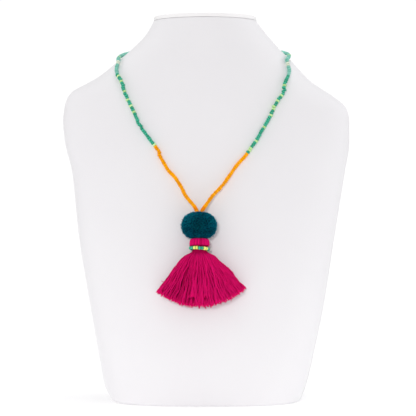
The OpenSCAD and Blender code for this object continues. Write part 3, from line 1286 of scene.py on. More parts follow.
@dataclass(frozen=True)
class BeadString:
    """The closed string of seed beads, from the clasp down both sides to the pompom."""

    bust: NeckBust
    hanger: Hanger
    bead_diameter: float = 3.8 * MM
    pitch: float = 2.3 * MM
    spread: float = 5.4 * MM
    clasp_diameter: float = 5 * MM
    clasp_length: float = 12 * MM
    rest_gap: float = 0.4 * MM
    fit_gap: float = 0.3 * MM
    thread_radius: float = 0.5 * MM
    thread_step: float = 2 * MM
    thread_sides: int = 6
    thread_tone: float = 0.3
    sight: float = 0.6 * MM
    seen_beads: int = 88
    wobble: float = 0.09 * MM
    tilt: float = 0.06
    widths: tuple[float, ...] = (0.94, 1.0, 1.03, 1.05, 1.08)
    lengths: Limits = (0.88, 1.0)
    deep_beads: int = 2
    steps: int = 6
    seed: int = 7

    def clasp_centre(self) -> Vector:
        """Return the middle of the clasp at the nape."""
        height = ROUTES[Side.LEFT][0][0]
        lift = self.clasp_diameter / 2 + self.rest_gap
        return self.bust.point(height, 90) + self.bust.outward(height, 90) * lift

    def _entry(self, side: Side) -> Vector:
        """Return the point where the string enters the pompom."""
        rise = self.hanger.pompom_height / 2 + self.fit_gap + self.bead_diameter / 4
        inside = Vector((side.value * self.spread / 2, -self.hanger.middle, rise))
        return self.hanger.matrix() @ inside

    def route(self, side: Side) -> Path:
        """Return the string's line on one side, from the pompom up to the clasp."""
        reach = self.clasp_length / 2 + 1.5 * self.fit_gap
        knots = [self.clasp_centre() + Vector((side.value * reach, 0, 0))]
        for height, turn, lift in ROUTES[side]:
            off = self.bead_diameter * (0.5 + lift) + self.rest_gap
            knots.append(self.bust.point(height, turn) + self.bust.outward(height, turn) * off)
        knots.append(self._entry(side))
        return Path(Path.through(knots, self.steps).points[::-1])

    def build(self) -> tuple[Blank, Blank]:
        """Return the green beads and the orange beads, each with its thread."""
        draw = random.Random(self.seed)
        bead = SeedBead().pattern()
        green, orange = Blank("green_seed_beads"), Blank("orange_seed_beads")
        for side in Side:
            path = self.route(side)
            count = round(path.length / self.pitch)
            pitch = path.length / count
            # The bead before the first one sits inside the pompom
            for number in range(-1, count):
                blank = orange if number < ORANGE_BEADS[side] else green
                tint = self._tint(side, number)
                blank.stamp(bead, self._seat(path, side, number, pitch, draw), draw.random(), tint)
            split = ORANGE_BEADS[side] * pitch
            self._thread(orange, path, -pitch, split)
            self._thread(green, path, split, path.length)
        discard([bead])
        return green, orange

    def _seat(
        self, path: Path, side: Side, number: int, pitch: float, draw: random.Random
    ) -> Matrix:
        """Return the matrix of one bead, a little out of line as pressed beads are.

        Args:
            path: The string's line from the pompom up.
            side: Which half of the string.
            number: The bead's number up from the pompom.
            pitch: Length of string for each bead.
            draw: Source of its small differences.

        Returns:
            The matrix for a stamp.
        """
        run = (number + 0.5) * pitch
        ahead = (path.at(run + self.sight) - path.at(run - self.sight)).normalized()
        seen = number < self.seen_beads
        right = ahead.cross(Vector((0, -1, 0))).normalized() if seen else Vector()
        proud = PROUD_BEADS[side].get(number, 0.0) * self.bead_diameter
        middle = path.at(run) + right * (proud + draw.gauss(0, self.wobble))
        axis = (ahead + jitter(draw, self.tilt)).normalized()
        width = self.bead_diameter * draw.choice(self.widths)
        length = pitch * draw.uniform(*self.lengths)
        return SeedBead.seat(middle, axis, width, length, draw.random() * TAU)

    def _tint(self, side: Side, number: int) -> float:
        """Return the tint of one bead by its number up from the pompom."""
        if number < ORANGE_BEADS[side]:
            return (Bead.DEEP if number < self.deep_beads else Bead.MAIN).value
        if number in YELLOW_BEADS[side]:
            return Bead.YELLOW.value
        if number in PALE_GLARE_BEADS[side]:
            return Bead.PALE_GLARE.value
        return (Bead.MINT if number >= MINT_FROM[side] else Bead.MAIN).value

    def _thread(self, blank: Blank, path: Path, start: float, end: float) -> None:
        """Roll the thread that runs through the beads' holes, from one length to another."""
        count = round((end - start) / self.thread_step)
        points = tuple(path.at(blend(start, end, step / count)) for step in range(count + 1))
        thread, radius = Blank("thread"), self.thread_radius
        thread.tube(Path(points), self.thread_sides, lambda *shares: radius, self.thread_tone)
        blank.take(thread)

    def dress(self) -> None:
        """Build the beads and give them their glass."""
        green, orange = self.build()
        green.finish(GREEN_GLASS.material(), "green_glass", "green_beads")
        orange.finish(ORANGE_GLASS.material(), "orange_glass", "orange_beads")


@dataclass(frozen=True)
class BarrelClasp:
    """Screw barrel that joins the string's two ends at the nape."""

    string: BeadString
    columns: int = 40
    face: Outline = ((0, 1), (0.35, 1), (0.45, 0.97))
    shoulder: Outline = ((0.72, 0.93), (0.9, 0.87), (1, 0.8), (1, 0.74))
    groove: Outline = ((0.93, 0.70), (0.93, 0.66), (1, 0.64), (1, 0.61))
    waist: Outline = ((1, 0.05), (0.88, 0.025))
    grooves: int = 5
    groove_pitch: float = 0.11

    def section(self) -> list[Spot]:
        """Return the outline as radius and distance along the barrel."""
        shares = [*self.face, *self.shoulder]
        for step in range(self.grooves):
            shares += [(out, along - step * self.groove_pitch) for out, along in self.groove]
        shares += self.waist
        radius, reach = self.string.clasp_diameter / 2, self.string.clasp_length / 2
        half = [(out * radius, along * reach) for out, along in shares]
        return half + [(out, -along) for out, along in reversed(half)]

    def dress(self) -> None:
        """Build the barrel and give it its finish."""
        blank, barrel = Blank("barrel_clasp"), Blank("barrel")
        barrel.spin(self.section(), self.columns, 0.5)
        lying = Matrix.Rotation(math.pi / 2, 4, "Y")
        blank.take(barrel, Matrix.Translation(self.string.clasp_centre()) @ lying)
        blank.finish(GiltBrass().material(), "clasp_metal", "clasp")


# ---------------------------------------------------------------- pompom


@dataclass(frozen=True)
class Tuft:
    """One bundle of cut wool ends, which spread out from its root."""

    radius: float = 1.6 * MM
    ends: int = 30
    sides: int = 3
    turn_spread: float = 0.3
    root_share: float = 0.7
    pile: float = 4.2 * MM
    lean: float = 0.22 * MM
    rise: Limits = (-0.1 * MM, 0.25 * MM)
    crown_radius: float = 16 * MM
    end_radius: float = 0.18 * MM
    end_widths: Limits = (0.75, 1.15)
    point_share: float = 0.45
    tones: Limits = (0.3, 0.7)
    tone_spread: float = 0.5

    def pattern(self, draw: random.Random) -> bpy.types.Mesh:
        """Return a bundle round the Z axis, whose tips lie near zero height."""
        part = Blank("tuft")
        level = draw.uniform(*self.tones)
        for number in range(self.ends):
            turn = GOLDEN_TURN * number + draw.uniform(-self.turn_spread, self.turn_spread)
            out = self.radius * math.sqrt((number + 0.5) / self.ends)
            tip = level_way(turn) * out
            root = tip * self.root_share - Vector((0, 0, self.pile))
            lean = [draw.gauss(0, self.lean) for _ in range(2)]
            tip += Vector((*lean, draw.gauss(*self.rise) - out * out / (2 * self.crown_radius)))
            radius = self.end_radius * draw.uniform(*self.end_widths)
            tone = held(level + draw.uniform(-self.tone_spread, self.tone_spread))
            part.pin(root, tip, (radius, radius * self.point_share), self.sides, tone)
        return part.pattern()


@dataclass(frozen=True)
class Pompom:
    """Ball of cut wool ends round a core coloured as painted shade."""

    hanger: Hanger
    width: float = 33.5 * MM
    fullness: float = 2.3
    sag: float = 0.6 * MM
    spring: float = 0.1 * MM
    aside: float = 0.35 * MM
    core_share: float = 0.82
    core_faces: tuple[int, int] = (40, 20)
    # The core takes a low tone and tint: painted shade inside the ball
    core_tone: float = 0.2
    core_tint: float = 0.1
    tuft: Tuft = Tuft()
    tufts: int = 620
    kinds_of_tuft: int = 14
    turn_spread: float = 0.05
    proud_every: int = 9
    proud: float = 0.5 * MM
    uneven: float = 0.28 * MM
    tuft_lean: float = 0.1
    strays: int = 1500
    stray_reach: Limits = (0.3 * MM, 1.15 * MM)
    stray_root: float = 1.5 * MM
    stray_radii: Limits = (0.2 * MM, 0.12 * MM)
    stray_lean: float = 0.4 * MM
    # Lighter stray fibres: random tone, and painted rim light round the ball
    stray_tones_and_rim_light: Limits = (0.75, 1.15)
    lock_way: Triple = (-0.97, -0.2, 0.02)
    lock_spread: float = 0.03
    lock_reach: float = 1.4 * MM
    lock_fibres: int = 4
    batch: int = 100
    seed: int = 23

    def _reach(self, way: Vector) -> float:
        """Return the distance from the middle to the surface in a unit direction."""
        sizes = (self.width, self.hanger.pompom_depth, self.hanger.pompom_height)
        halves = [size / 2 + self.spring for size in sizes]
        total = sum((abs(part) / half) ** self.fullness for part, half in zip(way, halves))
        return total ** (-1 / self.fullness)

    def _core(self, blank: Blank) -> None:
        """Make the core that closes the gaps between the ends, coloured as the roots' painted
        shade.
        """
        core = Blank("core")
        round_it, up_it = self.core_faces
        bmesh.ops.create_uvsphere(core.mesh, u_segments=round_it, v_segments=up_it, radius=1)
        for vert in core.mesh.verts:
            way = vert.co.normalized()
            vert.co = way * self._reach(way) * self.core_share
        core.paint(core.mesh.verts, self.core_tone, self.core_tint)
        blank.take(core)

    def build(self) -> Blank:
        """Return the core and all the cut ends."""
        draw = random.Random(self.seed)
        blank = Blank("wool_pompom")
        ball = Blank("ball")
        self._core(ball)
        kinds = [self.tuft.pattern(draw) for _ in range(self.kinds_of_tuft)]
        for number in range(self.tufts):
            rise = 1 - 2 * (number + 0.5) / self.tufts
            turn = GOLDEN_TURN * number + draw.uniform(-self.turn_spread, self.turn_spread)
            way = level_way(turn) * math.sqrt(1 - rise * rise) + Vector((0, 0, rise))
            proud = draw.gauss(0 if number % self.proud_every else self.proud, self.uneven)
            ball.stamp(draw.choice(kinds), self._stand(way, proud, draw))
        discard(kinds)
        self._strays(ball, draw)
        middle = Matrix.Translation((-self.aside, -self.hanger.middle, -self.sag))
        blank.take(ball, self.hanger.matrix() @ middle)
        return blank

    def _stand(self, way: Vector, proud: float, draw: random.Random) -> Matrix:
        """Return the matrix that stands a tuft on the ball.

        Args:
            way: Direction from the ball's middle.
            proud: How far its tips stand out of the ball.
            draw: Source of its turn and lean.

        Returns:
            The matrix for a stamp.
        """
        lean = (way + jitter(draw, self.tuft_lean)).normalized()
        spun = Matrix.Rotation(draw.random() * TAU, 4, "Z")
        return Matrix.Translation(way * (self._reach(way) + proud)) @ facing(lean) @ spun

    def _strays(self, ball: Blank, draw: random.Random) -> None:
        """Add the single fibres that stand out of the pile, lighter as painted rim light, in
        batches, which is quicker.
        """
        lock = (Vector(self.lock_way), self.lock_spread, self.lock_reach)
        fibres = [lock] * self.lock_fibres
        fibres += [(Vector(), 1.0, draw.uniform(*self.stray_reach)) for _ in range(self.strays)]
        for first in range(0, len(fibres), self.batch):
            part = Blank("strays")
            for middle, spread, out in fibres[first : first + self.batch]:
                way = (middle + jitter(draw, spread)).normalized()
                reach = self._reach(way)
                tip = way * (reach + out) + jitter(draw, self.stray_lean)
                root = way * (reach - self.stray_root)
                tone = draw.uniform(*self.stray_tones_and_rim_light)
                part.pin(root, tip, self.stray_radii, self.tuft.sides, tone)
            ball.take(part)

    def dress(self) -> None:
        """Build the pompom and give it its wool."""
        self.build().finish(TEAL_WOOL.material(), "teal_yarn", "pompom")


# ---------------------------------------------------------------- tassel


# The head's outline from its top to the band: share of the drop, and share of the way out
# from the throat's width to the head's
HEAD_ROLL = (
    (0.00, -0.35),
    (0.05, 0.25),
    (0.18, 0.72),
    (0.40, 0.94),
    (0.65, 1.00),
    (0.85, 1.00),
    (0.95, 0.85),
    (1.00, 0.00),
)

# Share of the way out to its end that a skirt yarn has come at each eighth of its drop
SKIRT_EDGES = {
    Side.LEFT: (0.0, 0.235, 0.375, 0.485, 0.590, 0.685, 0.785, 0.905, 1.0),
    Side.RIGHT: (0.0, 0.225, 0.345, 0.470, 0.625, 0.715, 0.785, 0.885, 1.0),
}

# Locks at the front that end short: their place across the fan and how much shorter they are
SHORT_LOCKS = ((-0.32, -0.12, 0.115), (0.07, 0.20, 0.12))


@dataclass(frozen=True)
class Row:
    """One row of yarns in the skirt, which gather in locks.

    It holds the number of yarns, how far forward the row stands, from 1 at the front to -1 at
    the back, how much shorter its yarns are, the limits of their tones, which are lower in the
    rows behind as painted shade, the number of locks, and the share of the way that a yarn's
    end goes to the middle of its lock.
    """

    yarns: int
    forward: float
    shorter: float
    tones: Limits
    locks: int
    gather: float


# Limits of the height and of the length of a loose yarn's waves
SLOW_WAVE: tuple[Limits, Limits] = ((0.4 * MM, 1.0 * MM), (24 * MM, 50 * MM))
QUICK_WAVE: tuple[Limits, Limits] = ((0.1 * MM, 0.34 * MM), (8 * MM, 15 * MM))


@dataclass(frozen=True)
class Crinkle:
    """The waves that a loose yarn makes to one side: height, length and phase of each."""

    waves: tuple[Triple, ...]

    @classmethod
    def drawn(cls, draw: random.Random, calm: float) -> "Crinkle":
        """Return the waves of one yarn, slow ones lower by a share between 0 and 1."""
        slow, quick = draw.uniform(*SLOW_WAVE[0]) * (1 - calm), draw.uniform(*QUICK_WAVE[0])
        kinds = ((slow, SLOW_WAVE[1]), (quick, QUICK_WAVE[1]))
        waves = [(high, draw.uniform(*lengths), draw.random() * TAU) for high, lengths in kinds]
        return cls(tuple(waves))

    def at(self, run: float) -> float:
        """Return the sum of the waves at a length of yarn."""
        return sum(high * math.sin(TAU * run / long + phase) for high, long, phase in self.waves)


@dataclass(frozen=True)
class PliedYarn:
    """Cotton yarn of plies twisted round each other, with painted shade in the grooves between
    them.
    """

    plies: int = 3
    twist_pitch: float = 6.5 * MM
    lobes: Triple = (1.05, 0.84, 0.84)
    # Tint of each share round a ply: painted shade in the grooves between the plies
    grooves: Triple = (0.0, 0.4, 0.4)

    def _on_ply(self, values: Sequence[float], across: float) -> float:
        """Return the value for a share round the yarn. The first one is for a ply's crown."""
        return values[round(across * len(values) * self.plies) % len(values)]

    def roll(
        self, blank: Blank, path: Path, radius: Along, painted_shade: Along, tone: float, phase: float
    ) -> None:
        """Roll one yarn round a path.

        Args:
            blank: The blank that takes the yarn.
            path: The yarn's line.
            radius: Radius at a share of the line.
            painted_shade: Painted shade at a share of the line, where the bead band, a short lock
                or the pompom shades the yarn.
            tone: The yarn's tone.
            phase: Turn of the plies at its start.
        """
        part = Blank("yarn")
        part.tube(
            path,
            len(self.lobes) * self.plies,
            lambda across, along: radius(along) * self._on_ply(self.lobes, across),
            tone,
            # The tint is painted shade, in the grooves and along the line
            lambda across, along: self._on_ply(self.grooves, across) + painted_shade(along),
            TAU / self.twist_pitch,
            phase,
        )
        blank.take(part)


@dataclass(frozen=True)
class CutEnd:
    """The fibres that stand out of a yarn's cut end."""

    fibres: int = 6
    sides: int = 4
    radii: Limits = (0.2 * MM, 0.1 * MM)
    root_shares: Limits = (0.1, 0.7)
    root_depth: float = 0.9 * MM
    rises: Limits = (0.5 * MM, 1.5 * MM)
    tip_share: float = 0.6
    leans: Limits = (0.0, 0.35)
    tones: Limits = (0.6, 1.0)

    def pattern(self, yarn_radius: float, draw: random.Random) -> bpy.types.Mesh:
        """Return the fibres of one end of a yarn, which stand up from zero height."""
        part = Blank("cut_end")
        for _ in range(self.fibres):
            way = level_way(draw.random() * TAU)
            root = way * yarn_radius * draw.uniform(*self.root_shares)
            rise = draw.uniform(*self.rises)
            tip = way * (yarn_radius * self.tip_share + rise * draw.uniform(*self.leans))
            root.z, tip.z = -self.root_depth, rise
            part.pin(root, tip, self.radii, self.sides, draw.uniform(*self.tones))
        return part.pattern()


@dataclass(frozen=True)
class Tassel:
    """Yarn tassel: a rolled head, a bound throat and a skirt that fans out."""

    hanger: Hanger
    head_width: float = 19.6 * MM
    throat_width: float = 13.4 * MM
    band_drop: float = 10 * MM
    band_half: float = 2.6 * MM
    yarn_length: float = 65 * MM
    fan: float = 41.5
    fan_aside: float = 2.2
    skirt_depth: float = 25 * MM
    hem_sink: float = 0.04
    yarn_radius: float = 0.66 * MM
    bound_radius: float = 0.5 * MM
    head_yarns: int = 42
    head_yarn_radius: float = 0.84 * MM
    rows_along: int = 52
    front_rows: tuple[Row, ...] = (
        Row(74, 1.0, 0.0, (0.35, 0.9), 19, 0.08),
        Row(68, 0.84, 0.004, (0.3, 0.85), 13, 0.05),
    )
    middle_rows: tuple[Row, ...] = (
        Row(66, 0.68, 0.006, (0.3, 0.8), 23, 0.03),
        Row(60, 0.5, 0.012, (0.3, 0.8), 11, 0.0),
    )
    # The rows behind have lower tones: painted shade
    back_rows: tuple[Row, ...] = (
        Row(38, 0.27, 0.015, (0.2, 0.7), 15, 0.04),
        Row(36, 0.0, 0.02, (0.1, 0.7), 11, 0.04),
        Row(34, -0.33, 0.015, (0.1, 0.7), 13, 0.04),
        Row(36, -0.68, 0.02, (0.1, 0.7), 15, 0.04),
        Row(52, -1.0, 0.005, (0.2, 0.8), 17, 0.1),
    )
    depths: tuple[float, ...] = (1.0, 0.66, 0.86, 0.5)
    edge_from: float = 0.93
    aim_spread: float = 0.012
    cut: Limits = (-0.012, 0.022)
    lock_cut: float = 0.008
    lock_scatter: float = 137.5
    drop_steps: int = 60
    drop_bend: float = 1.7
    lead_steps: int = 4
    lead_step: float = 0.8 * MM
    hem_middle: float = 0.2
    soft_passes: int = 2
    loosening: Limits = (4 * MM, 22 * MM)
    calm_edge: float = 0.7
    calm_side: float = 0.4
    yarn: PliedYarn = PliedYarn()
    yarn_widths: Limits = (0.86, 1.1)
    swelling: Limits = (0.03, 0.33)
    # Painted shade in the skirt's throat, just below the bead band
    bound_painted_shade: float = 2.1
    binding: Limits = (0.185, 0.045)
    # Painted shadow on the yarns just below the tips of the short locks in front
    cover_painted_shadow: float = 1.3
    cover_at: float = 0.89
    cover: Limits = (0.0375, 0.0125)
    # Painted shade on the skirt's left side; the yarns are also darker towards both sides
    left_painted_shade: float = 0.45
    left_part: Limits = (0.2, 0.5)
    side_darkening: float = 0.2
    side_part: Limits = (0.3, 0.6)
    cut_end: CutEnd = CutEnd()
    kinds_of_end: int = 8
    end_tones: Limits = (0.7, 1.1)
    end_points: int = 4
    head_start: Spot = (2.5 * MM, -1.3 * MM)
    head_end: float = -15 * MM
    head_least: float = 1 * MM
    head_steps: int = 4
    head_top_knots: int = 3
    head_turn_spread: float = 0.15
    head_sinks: Limits = (0.9, 1.15)
    head_widths: Limits = (0.9, 1.06)
    head_tones: Limits = (0.0, 0.85)
    head_pinch: Limits = (0.6, 0.8)
    # Painted shade on the head's yarns away from a lit belt at its middle
    head_painted_shade: float = 0.9
    head_lit_belt_at: float = 0.42
    head_lit_belt: Limits = (0.126, 0.266)
    packing_inset: float = 1 * MM
    packing_dent: float = 1.2 * MM
    packing_slope: float = 0.01
    packing_tail: float = 2 * MM
    packing_columns: int = 32
    # Painted shade: the packed inside is darker than the yarns
    packing_tone: float = 0.3
    packing_tint: float = 0.5
    seed: int = 41

    def to_object(self) -> Matrix:
        """Return the matrix from the tassel's own line, at its top, to the object's frame."""
        top = Matrix.Translation((0, 0, self.hanger.tassel_top))
        return self.hanger.matrix() @ top

    @staticmethod
    def _lock_middle(share: float, row: Row) -> float:
        """Return the middle of the lock that a place across the fan belongs to."""
        width = 2 / row.locks
        return held((math.floor((share + 1) / width) + 0.5) * width - 1, -1.0)

    def _reach(self, share: float, row: Row, draw: random.Random) -> float:
        """Return a yarn's length from the top of the head.

        Args:
            share: Place of its end across the fan.
            row: The row that it belongs to.
            draw: Source of the ragged cut.

        Returns:
            The length in metres.
        """
        scattered = self.lock_scatter * self._lock_middle(share, row) * row.locks
        cut = row.shorter + draw.uniform(*self.cut) + self.lock_cut * math.sin(scattered)
        if row.forward == 1:
            cut += self._shorter(share)
        return self.yarn_length * (1 - cut)

    @staticmethod
    def _shorter(share: float) -> float:
        """Return how much shorter a lock at the front ends, as a share of the yarn's length."""
        return sum(short for low, high, short in SHORT_LOCKS if low < share < high)

    def strand(self, share: float, row: Row, deep: float, draw: random.Random) -> Path:
        """Return the line of one yarn of the skirt.

        Args:
            share: Place across the fan, from -1 at the left to 1 at the right.
            row: The row that the yarn belongs to.
            deep: How far out in the throat it starts, as a share of the throat.
            draw: Source of its waves and its length.

        Returns:
            The path from under the bead band to the cut end, in the object's frame.
        """
        edge = abs(share) > self.edge_from
        lock = self._lock_middle(share, row)
        aim = share if edge else blend(share, lock, row.gather) + draw.gauss(0, self.aim_spread)
        arch = math.sqrt(max(0.0, 1 - aim * aim))
        reach = self._reach(aim, row, draw)
        middle = self.hanger.middle
        throat = self.throat_width / 2 - self.bound_radius
        inset = self.yarn_radius
        under = self.band_drop + self.band_half
        points = []
        for step in range(-self.lead_steps, self.drop_steps + 1):
            drop = max(0.0, step / self.drop_steps) ** self.drop_bend
            lead = min(0, step) * self.lead_step
            fall = eased(drop)
            spread = math.radians(self.fan * blend(share, aim, fall) + self.fan_aside)
            sideways = reach * math.sin(spread) - inset * aim
            own = blend(middle, self.skirt_depth * self.hem_middle, fall)
            front = blend(middle + throat, self.skirt_depth - inset, fall) - own
            back = own - blend(middle - throat, inset - self.hem_sink * self.skirt_depth, fall)
            left, right = (curve(SKIRT_EDGES[side], drop) for side in Side)
            x = blend(throat * deep * share, sideways, blend(left, right, (aim + 1) / 2))
            far = (front if row.forward > 0 else back) * arch * row.forward
            y = -own - far * blend(deep, 1, fall)
            points.append(Vector((x, y, -blend(under, reach * math.cos(spread), drop) - lead)))
        path = Path(tuple(points)).spaced(self.rows_along).softened(self.soft_passes)
        calm = self.calm_edge if edge else self.calm_side * abs(share)
        return self._crinkled(path, calm, draw)

    def _crinkled(self, path: Path, calm: float, draw: random.Random) -> Path:
        """Return a path with the waves of loose yarn below the throat, in the object's frame."""
        across, deep = Crinkle.drawn(draw, calm), Crinkle.drawn(draw, calm)
        wavy = []
        for spot, run in zip(path.frames(), path.runs):
            free = ramp(run, *self.loosening)
            up = spot.ahead.cross(spot.side)
            wavy.append(spot.point + (spot.side * across.at(run) + up * deep.at(run)) * free)
        return Path(tuple(wavy)).moved(self.to_object())

    def build_rows(self, name: str, rows: Sequence[Row], seed: int) -> Blank:
        """Return some rows of the skirt.

        Args:
            name: The piece's name.
            rows: The rows to build.
            seed: Seed of their differences.

        Returns:
            The blank with all the rows' yarns.
        """
        draw = random.Random(seed)
        blank = Blank(name)
        ends = [self.cut_end.pattern(self.yarn_radius, draw) for _ in range(self.kinds_of_end)]
        for row in rows:
            for number in range(row.yarns):
                share = 2 * number / (row.yarns - 1) - 1
                share += draw.uniform(-0.5, 0.5) / row.yarns * (abs(share) < self.edge_from)
                path = self.strand(share, row, self.depths[number % len(self.depths)], draw)
                self._skirt_yarn(blank, path, share, row, draw)
                tip = path.points[-1]
                ahead = facing(tip - path.points[-self.end_points])
                place = Matrix.Translation(tip) @ ahead
                blank.stamp(draw.choice(ends), place, draw.uniform(*self.end_tones))
        discard(ends)
        return blank

    def _skirt_yarn(
        self, blank: Blank, path: Path, share: float, row: Row, draw: random.Random
    ) -> None:
        """Roll one yarn of the skirt, with painted shade below the binding, painted shadow under a
        short lock and painted shade at the left, and darker towards both sides.

        Args:
            blank: The blank that takes the yarn.
            path: The yarn's line.
            share: Its place across the fan.
            row: The row that it belongs to.
            draw: Source of its width, tone and turn.
        """
        free = self.yarn_radius * draw.uniform(*self.yarn_widths)
        covered = row.forward != 1 and self._shorter(share) > 0

        def radius(along: float) -> float:
            """Return the yarn's radius, which swells out of the binding."""
            return blend(self.bound_radius, free, ramp(along, *self.swelling))

        def painted_shade(along: float) -> float:
            """Return the painted shade below the binding and the painted shadow under a short
            lock.
            """
            under = ramp(abs(along - self.cover_at), *self.cover) if covered else 0.0
            return self.bound_painted_shade * ramp(along, *self.binding) + self.cover_painted_shadow * under

        # The tones are lowered on the left as painted shade, and towards both sides
        low = row.tones[0] - self.left_painted_shade * ramp(-share, *self.left_part)
        high = row.tones[1] - self.side_darkening * ramp(abs(share), *self.side_part)
        self.yarn.roll(blank, path, radius, painted_shade, draw.uniform(low, high), draw.random() * TAU)

    def _head(self) -> list[Spot]:
        """Return the head's outline as radius and Z, from its top down to the throat's end."""
        height = self.band_drop - self.band_half
        throat = self.throat_width / 2
        roll = [
            (blend(self.throat_width, self.head_width, out) / 2, -drop * height)
            for drop, out in HEAD_ROLL
        ]
        return [*roll, (throat, -self.band_drop), (throat, self.head_end)]

    def build_head(self) -> Blank:
        """Return the yarns that roll over the head and down into the throat."""
        draw = random.Random(self.seed)
        blank = Blank("tassel_head_yarn")
        outline = [self.head_start, *self._head()]
        inset = self.head_yarn_radius
        for number in range(self.head_yarns):
            aside = draw.uniform(-self.head_turn_spread, self.head_turn_spread)
            way = level_way(TAU * (number + aside) / self.head_yarns)
            knots = [
                way * max(radius - inset * draw.uniform(*self.head_sinks), self.head_least)
                + Vector((0, -self.hanger.middle, z - inset * (index < self.head_top_knots)))
                for index, (radius, z) in enumerate(outline)
            ]
            path = Path.through(knots, self.head_steps).moved(self.to_object())
            self._head_yarn(blank, path, draw)
        self._fill(blank)
        return blank

    def _head_yarn(self, blank: Blank, path: Path, draw: random.Random) -> None:
        """Roll one yarn of the head, pinched by the band, with painted shade at its top under the
        pompom and at its bottom over the band, round a lit belt.
        """
        full = self.head_yarn_radius * draw.uniform(*self.head_widths)

        def radius(along: float) -> float:
            """Return the yarn's radius."""
            return blend(full, self.bound_radius, ramp(along, *self.head_pinch))

        def painted_shade(along: float) -> float:
            """Return the painted shade, which leaves a lit belt round the head's middle."""
            return self.head_painted_shade * ramp(abs(along - self.head_lit_belt_at), *self.head_lit_belt)

        tone = draw.uniform(*self.head_tones)
        self.yarn.roll(blank, path, radius, painted_shade, tone, draw.random() * TAU)

    def _fill(self, blank: Blank) -> None:
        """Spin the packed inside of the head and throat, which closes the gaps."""
        top = -self.packing_dent
        inner = [(radius - self.packing_inset, z) for radius, z in self._head()]
        section = [(0.0, top)]
        section += [(out, min(z, top) - out * self.packing_slope) for out, z in inner[:-2]]
        section += [*inner[-2:], (0.0, self.head_end - self.packing_tail)]
        packed = Blank("packed_inside")
        packed.spin(section, self.packing_columns, self.packing_tone)
        # Painted shade: the inside takes a low tone and a darker tint
        packed.paint(packed.mesh.verts, self.packing_tone, self.packing_tint)
        blank.take(packed, self.to_object() @ Matrix.Translation((0, -self.hanger.middle, 0)))

    def dress(self) -> None:
        """Build the head and the skirt and give them their yarn."""
        cotton = MAGENTA_COTTON.material()
        self.build_head().finish(cotton, "magenta_yarn", "tassel")
        layers = (
            ("tassel_skirt_front", self.front_rows, 1),
            ("tassel_skirt_middle", self.middle_rows, 3),
            ("tassel_skirt_back", self.back_rows, 2),
        )
        for name, rows, offset in layers:
            layer = self.build_rows(name, rows, self.seed + offset)
            if rows is self.front_rows:
                LooseFibres(self).lay_on(layer)
            layer.finish(cotton, "magenta_yarn", "tassel")


@dataclass(frozen=True)
class LooseFibres:
    """Single fibres that lie over the skirt, and one thread that leaves its left edge.

    The drift, the lifts and the thread's bends are in millimetres.
    """

    tassel: Tassel
    count: int = 26
    farthest: float = 0.98
    starts: Limits = (0.05, 0.6)
    lengths: Limits = (10 * MM, 24 * MM)
    drift: float = 1.6
    drift_from: float = 0.6
    lifts: Limits = (0.5, 1.1)
    steps: int = 16
    smooth_steps: int = 2
    sides: int = 4
    radius: float = 0.12 * MM
    taper: Limits = (1.1, 0.5)
    thread_from: float = 0.79
    thread_lift: float = 0.4
    thread_bends: Outline = ((0.5, 0.0), (-0.8, 0.2), (-1.9, 0.0), (-2.8, 0.5), (-3.3, 1.3))
    thread_radius: float = 0.3 * MM
    seed: int = 46

    def lay_on(self, blank: Blank) -> None:
        """Add the fibres and the thread to the skirt's front."""
        draw = random.Random(self.seed)
        row = self.tassel.front_rows[0]
        part = Blank("loose_fibres")
        for _ in range(self.count):
            share = draw.uniform(-self.farthest, self.farthest)
            path = self.tassel.strand(share, row, 1.0, draw)
            start = draw.uniform(*self.starts) * path.length
            length = draw.uniform(*self.lengths)
            drift = Vector((draw.gauss(0, self.drift), -draw.uniform(*self.lifts), 0)) * MM
            shares = [step / self.steps for step in range(self.steps + 1)]
            knots = [
                path.at(start + length * share) + drift * (share + self.drift_from)
                for share in shares
                if start + length * share < path.length
            ]
            self._roll(part, knots, self.radius, draw)
        edge = self.tassel.strand(-1.0, row, 1.0, draw)
        root = edge.at(edge.length * self.thread_from)
        knots = [root + Vector((x, -self.thread_lift, z)) * MM for x, z in self.thread_bends]
        self._roll(part, knots, self.thread_radius, draw)
        blank.take(part)

    def _roll(
        self, blank: Blank, knots: Sequence[Vector], radius: float, draw: random.Random
    ) -> None:
        """Roll one thin fibre through knots, where there are enough of them."""
        if len(knots) > 2:
            path = Path.through(knots, self.smooth_steps)
            thick, thin = (radius * share for share in self.taper)
            blank.tube(path, self.sides, lambda _, along: blend(thick, thin, along), draw.random())


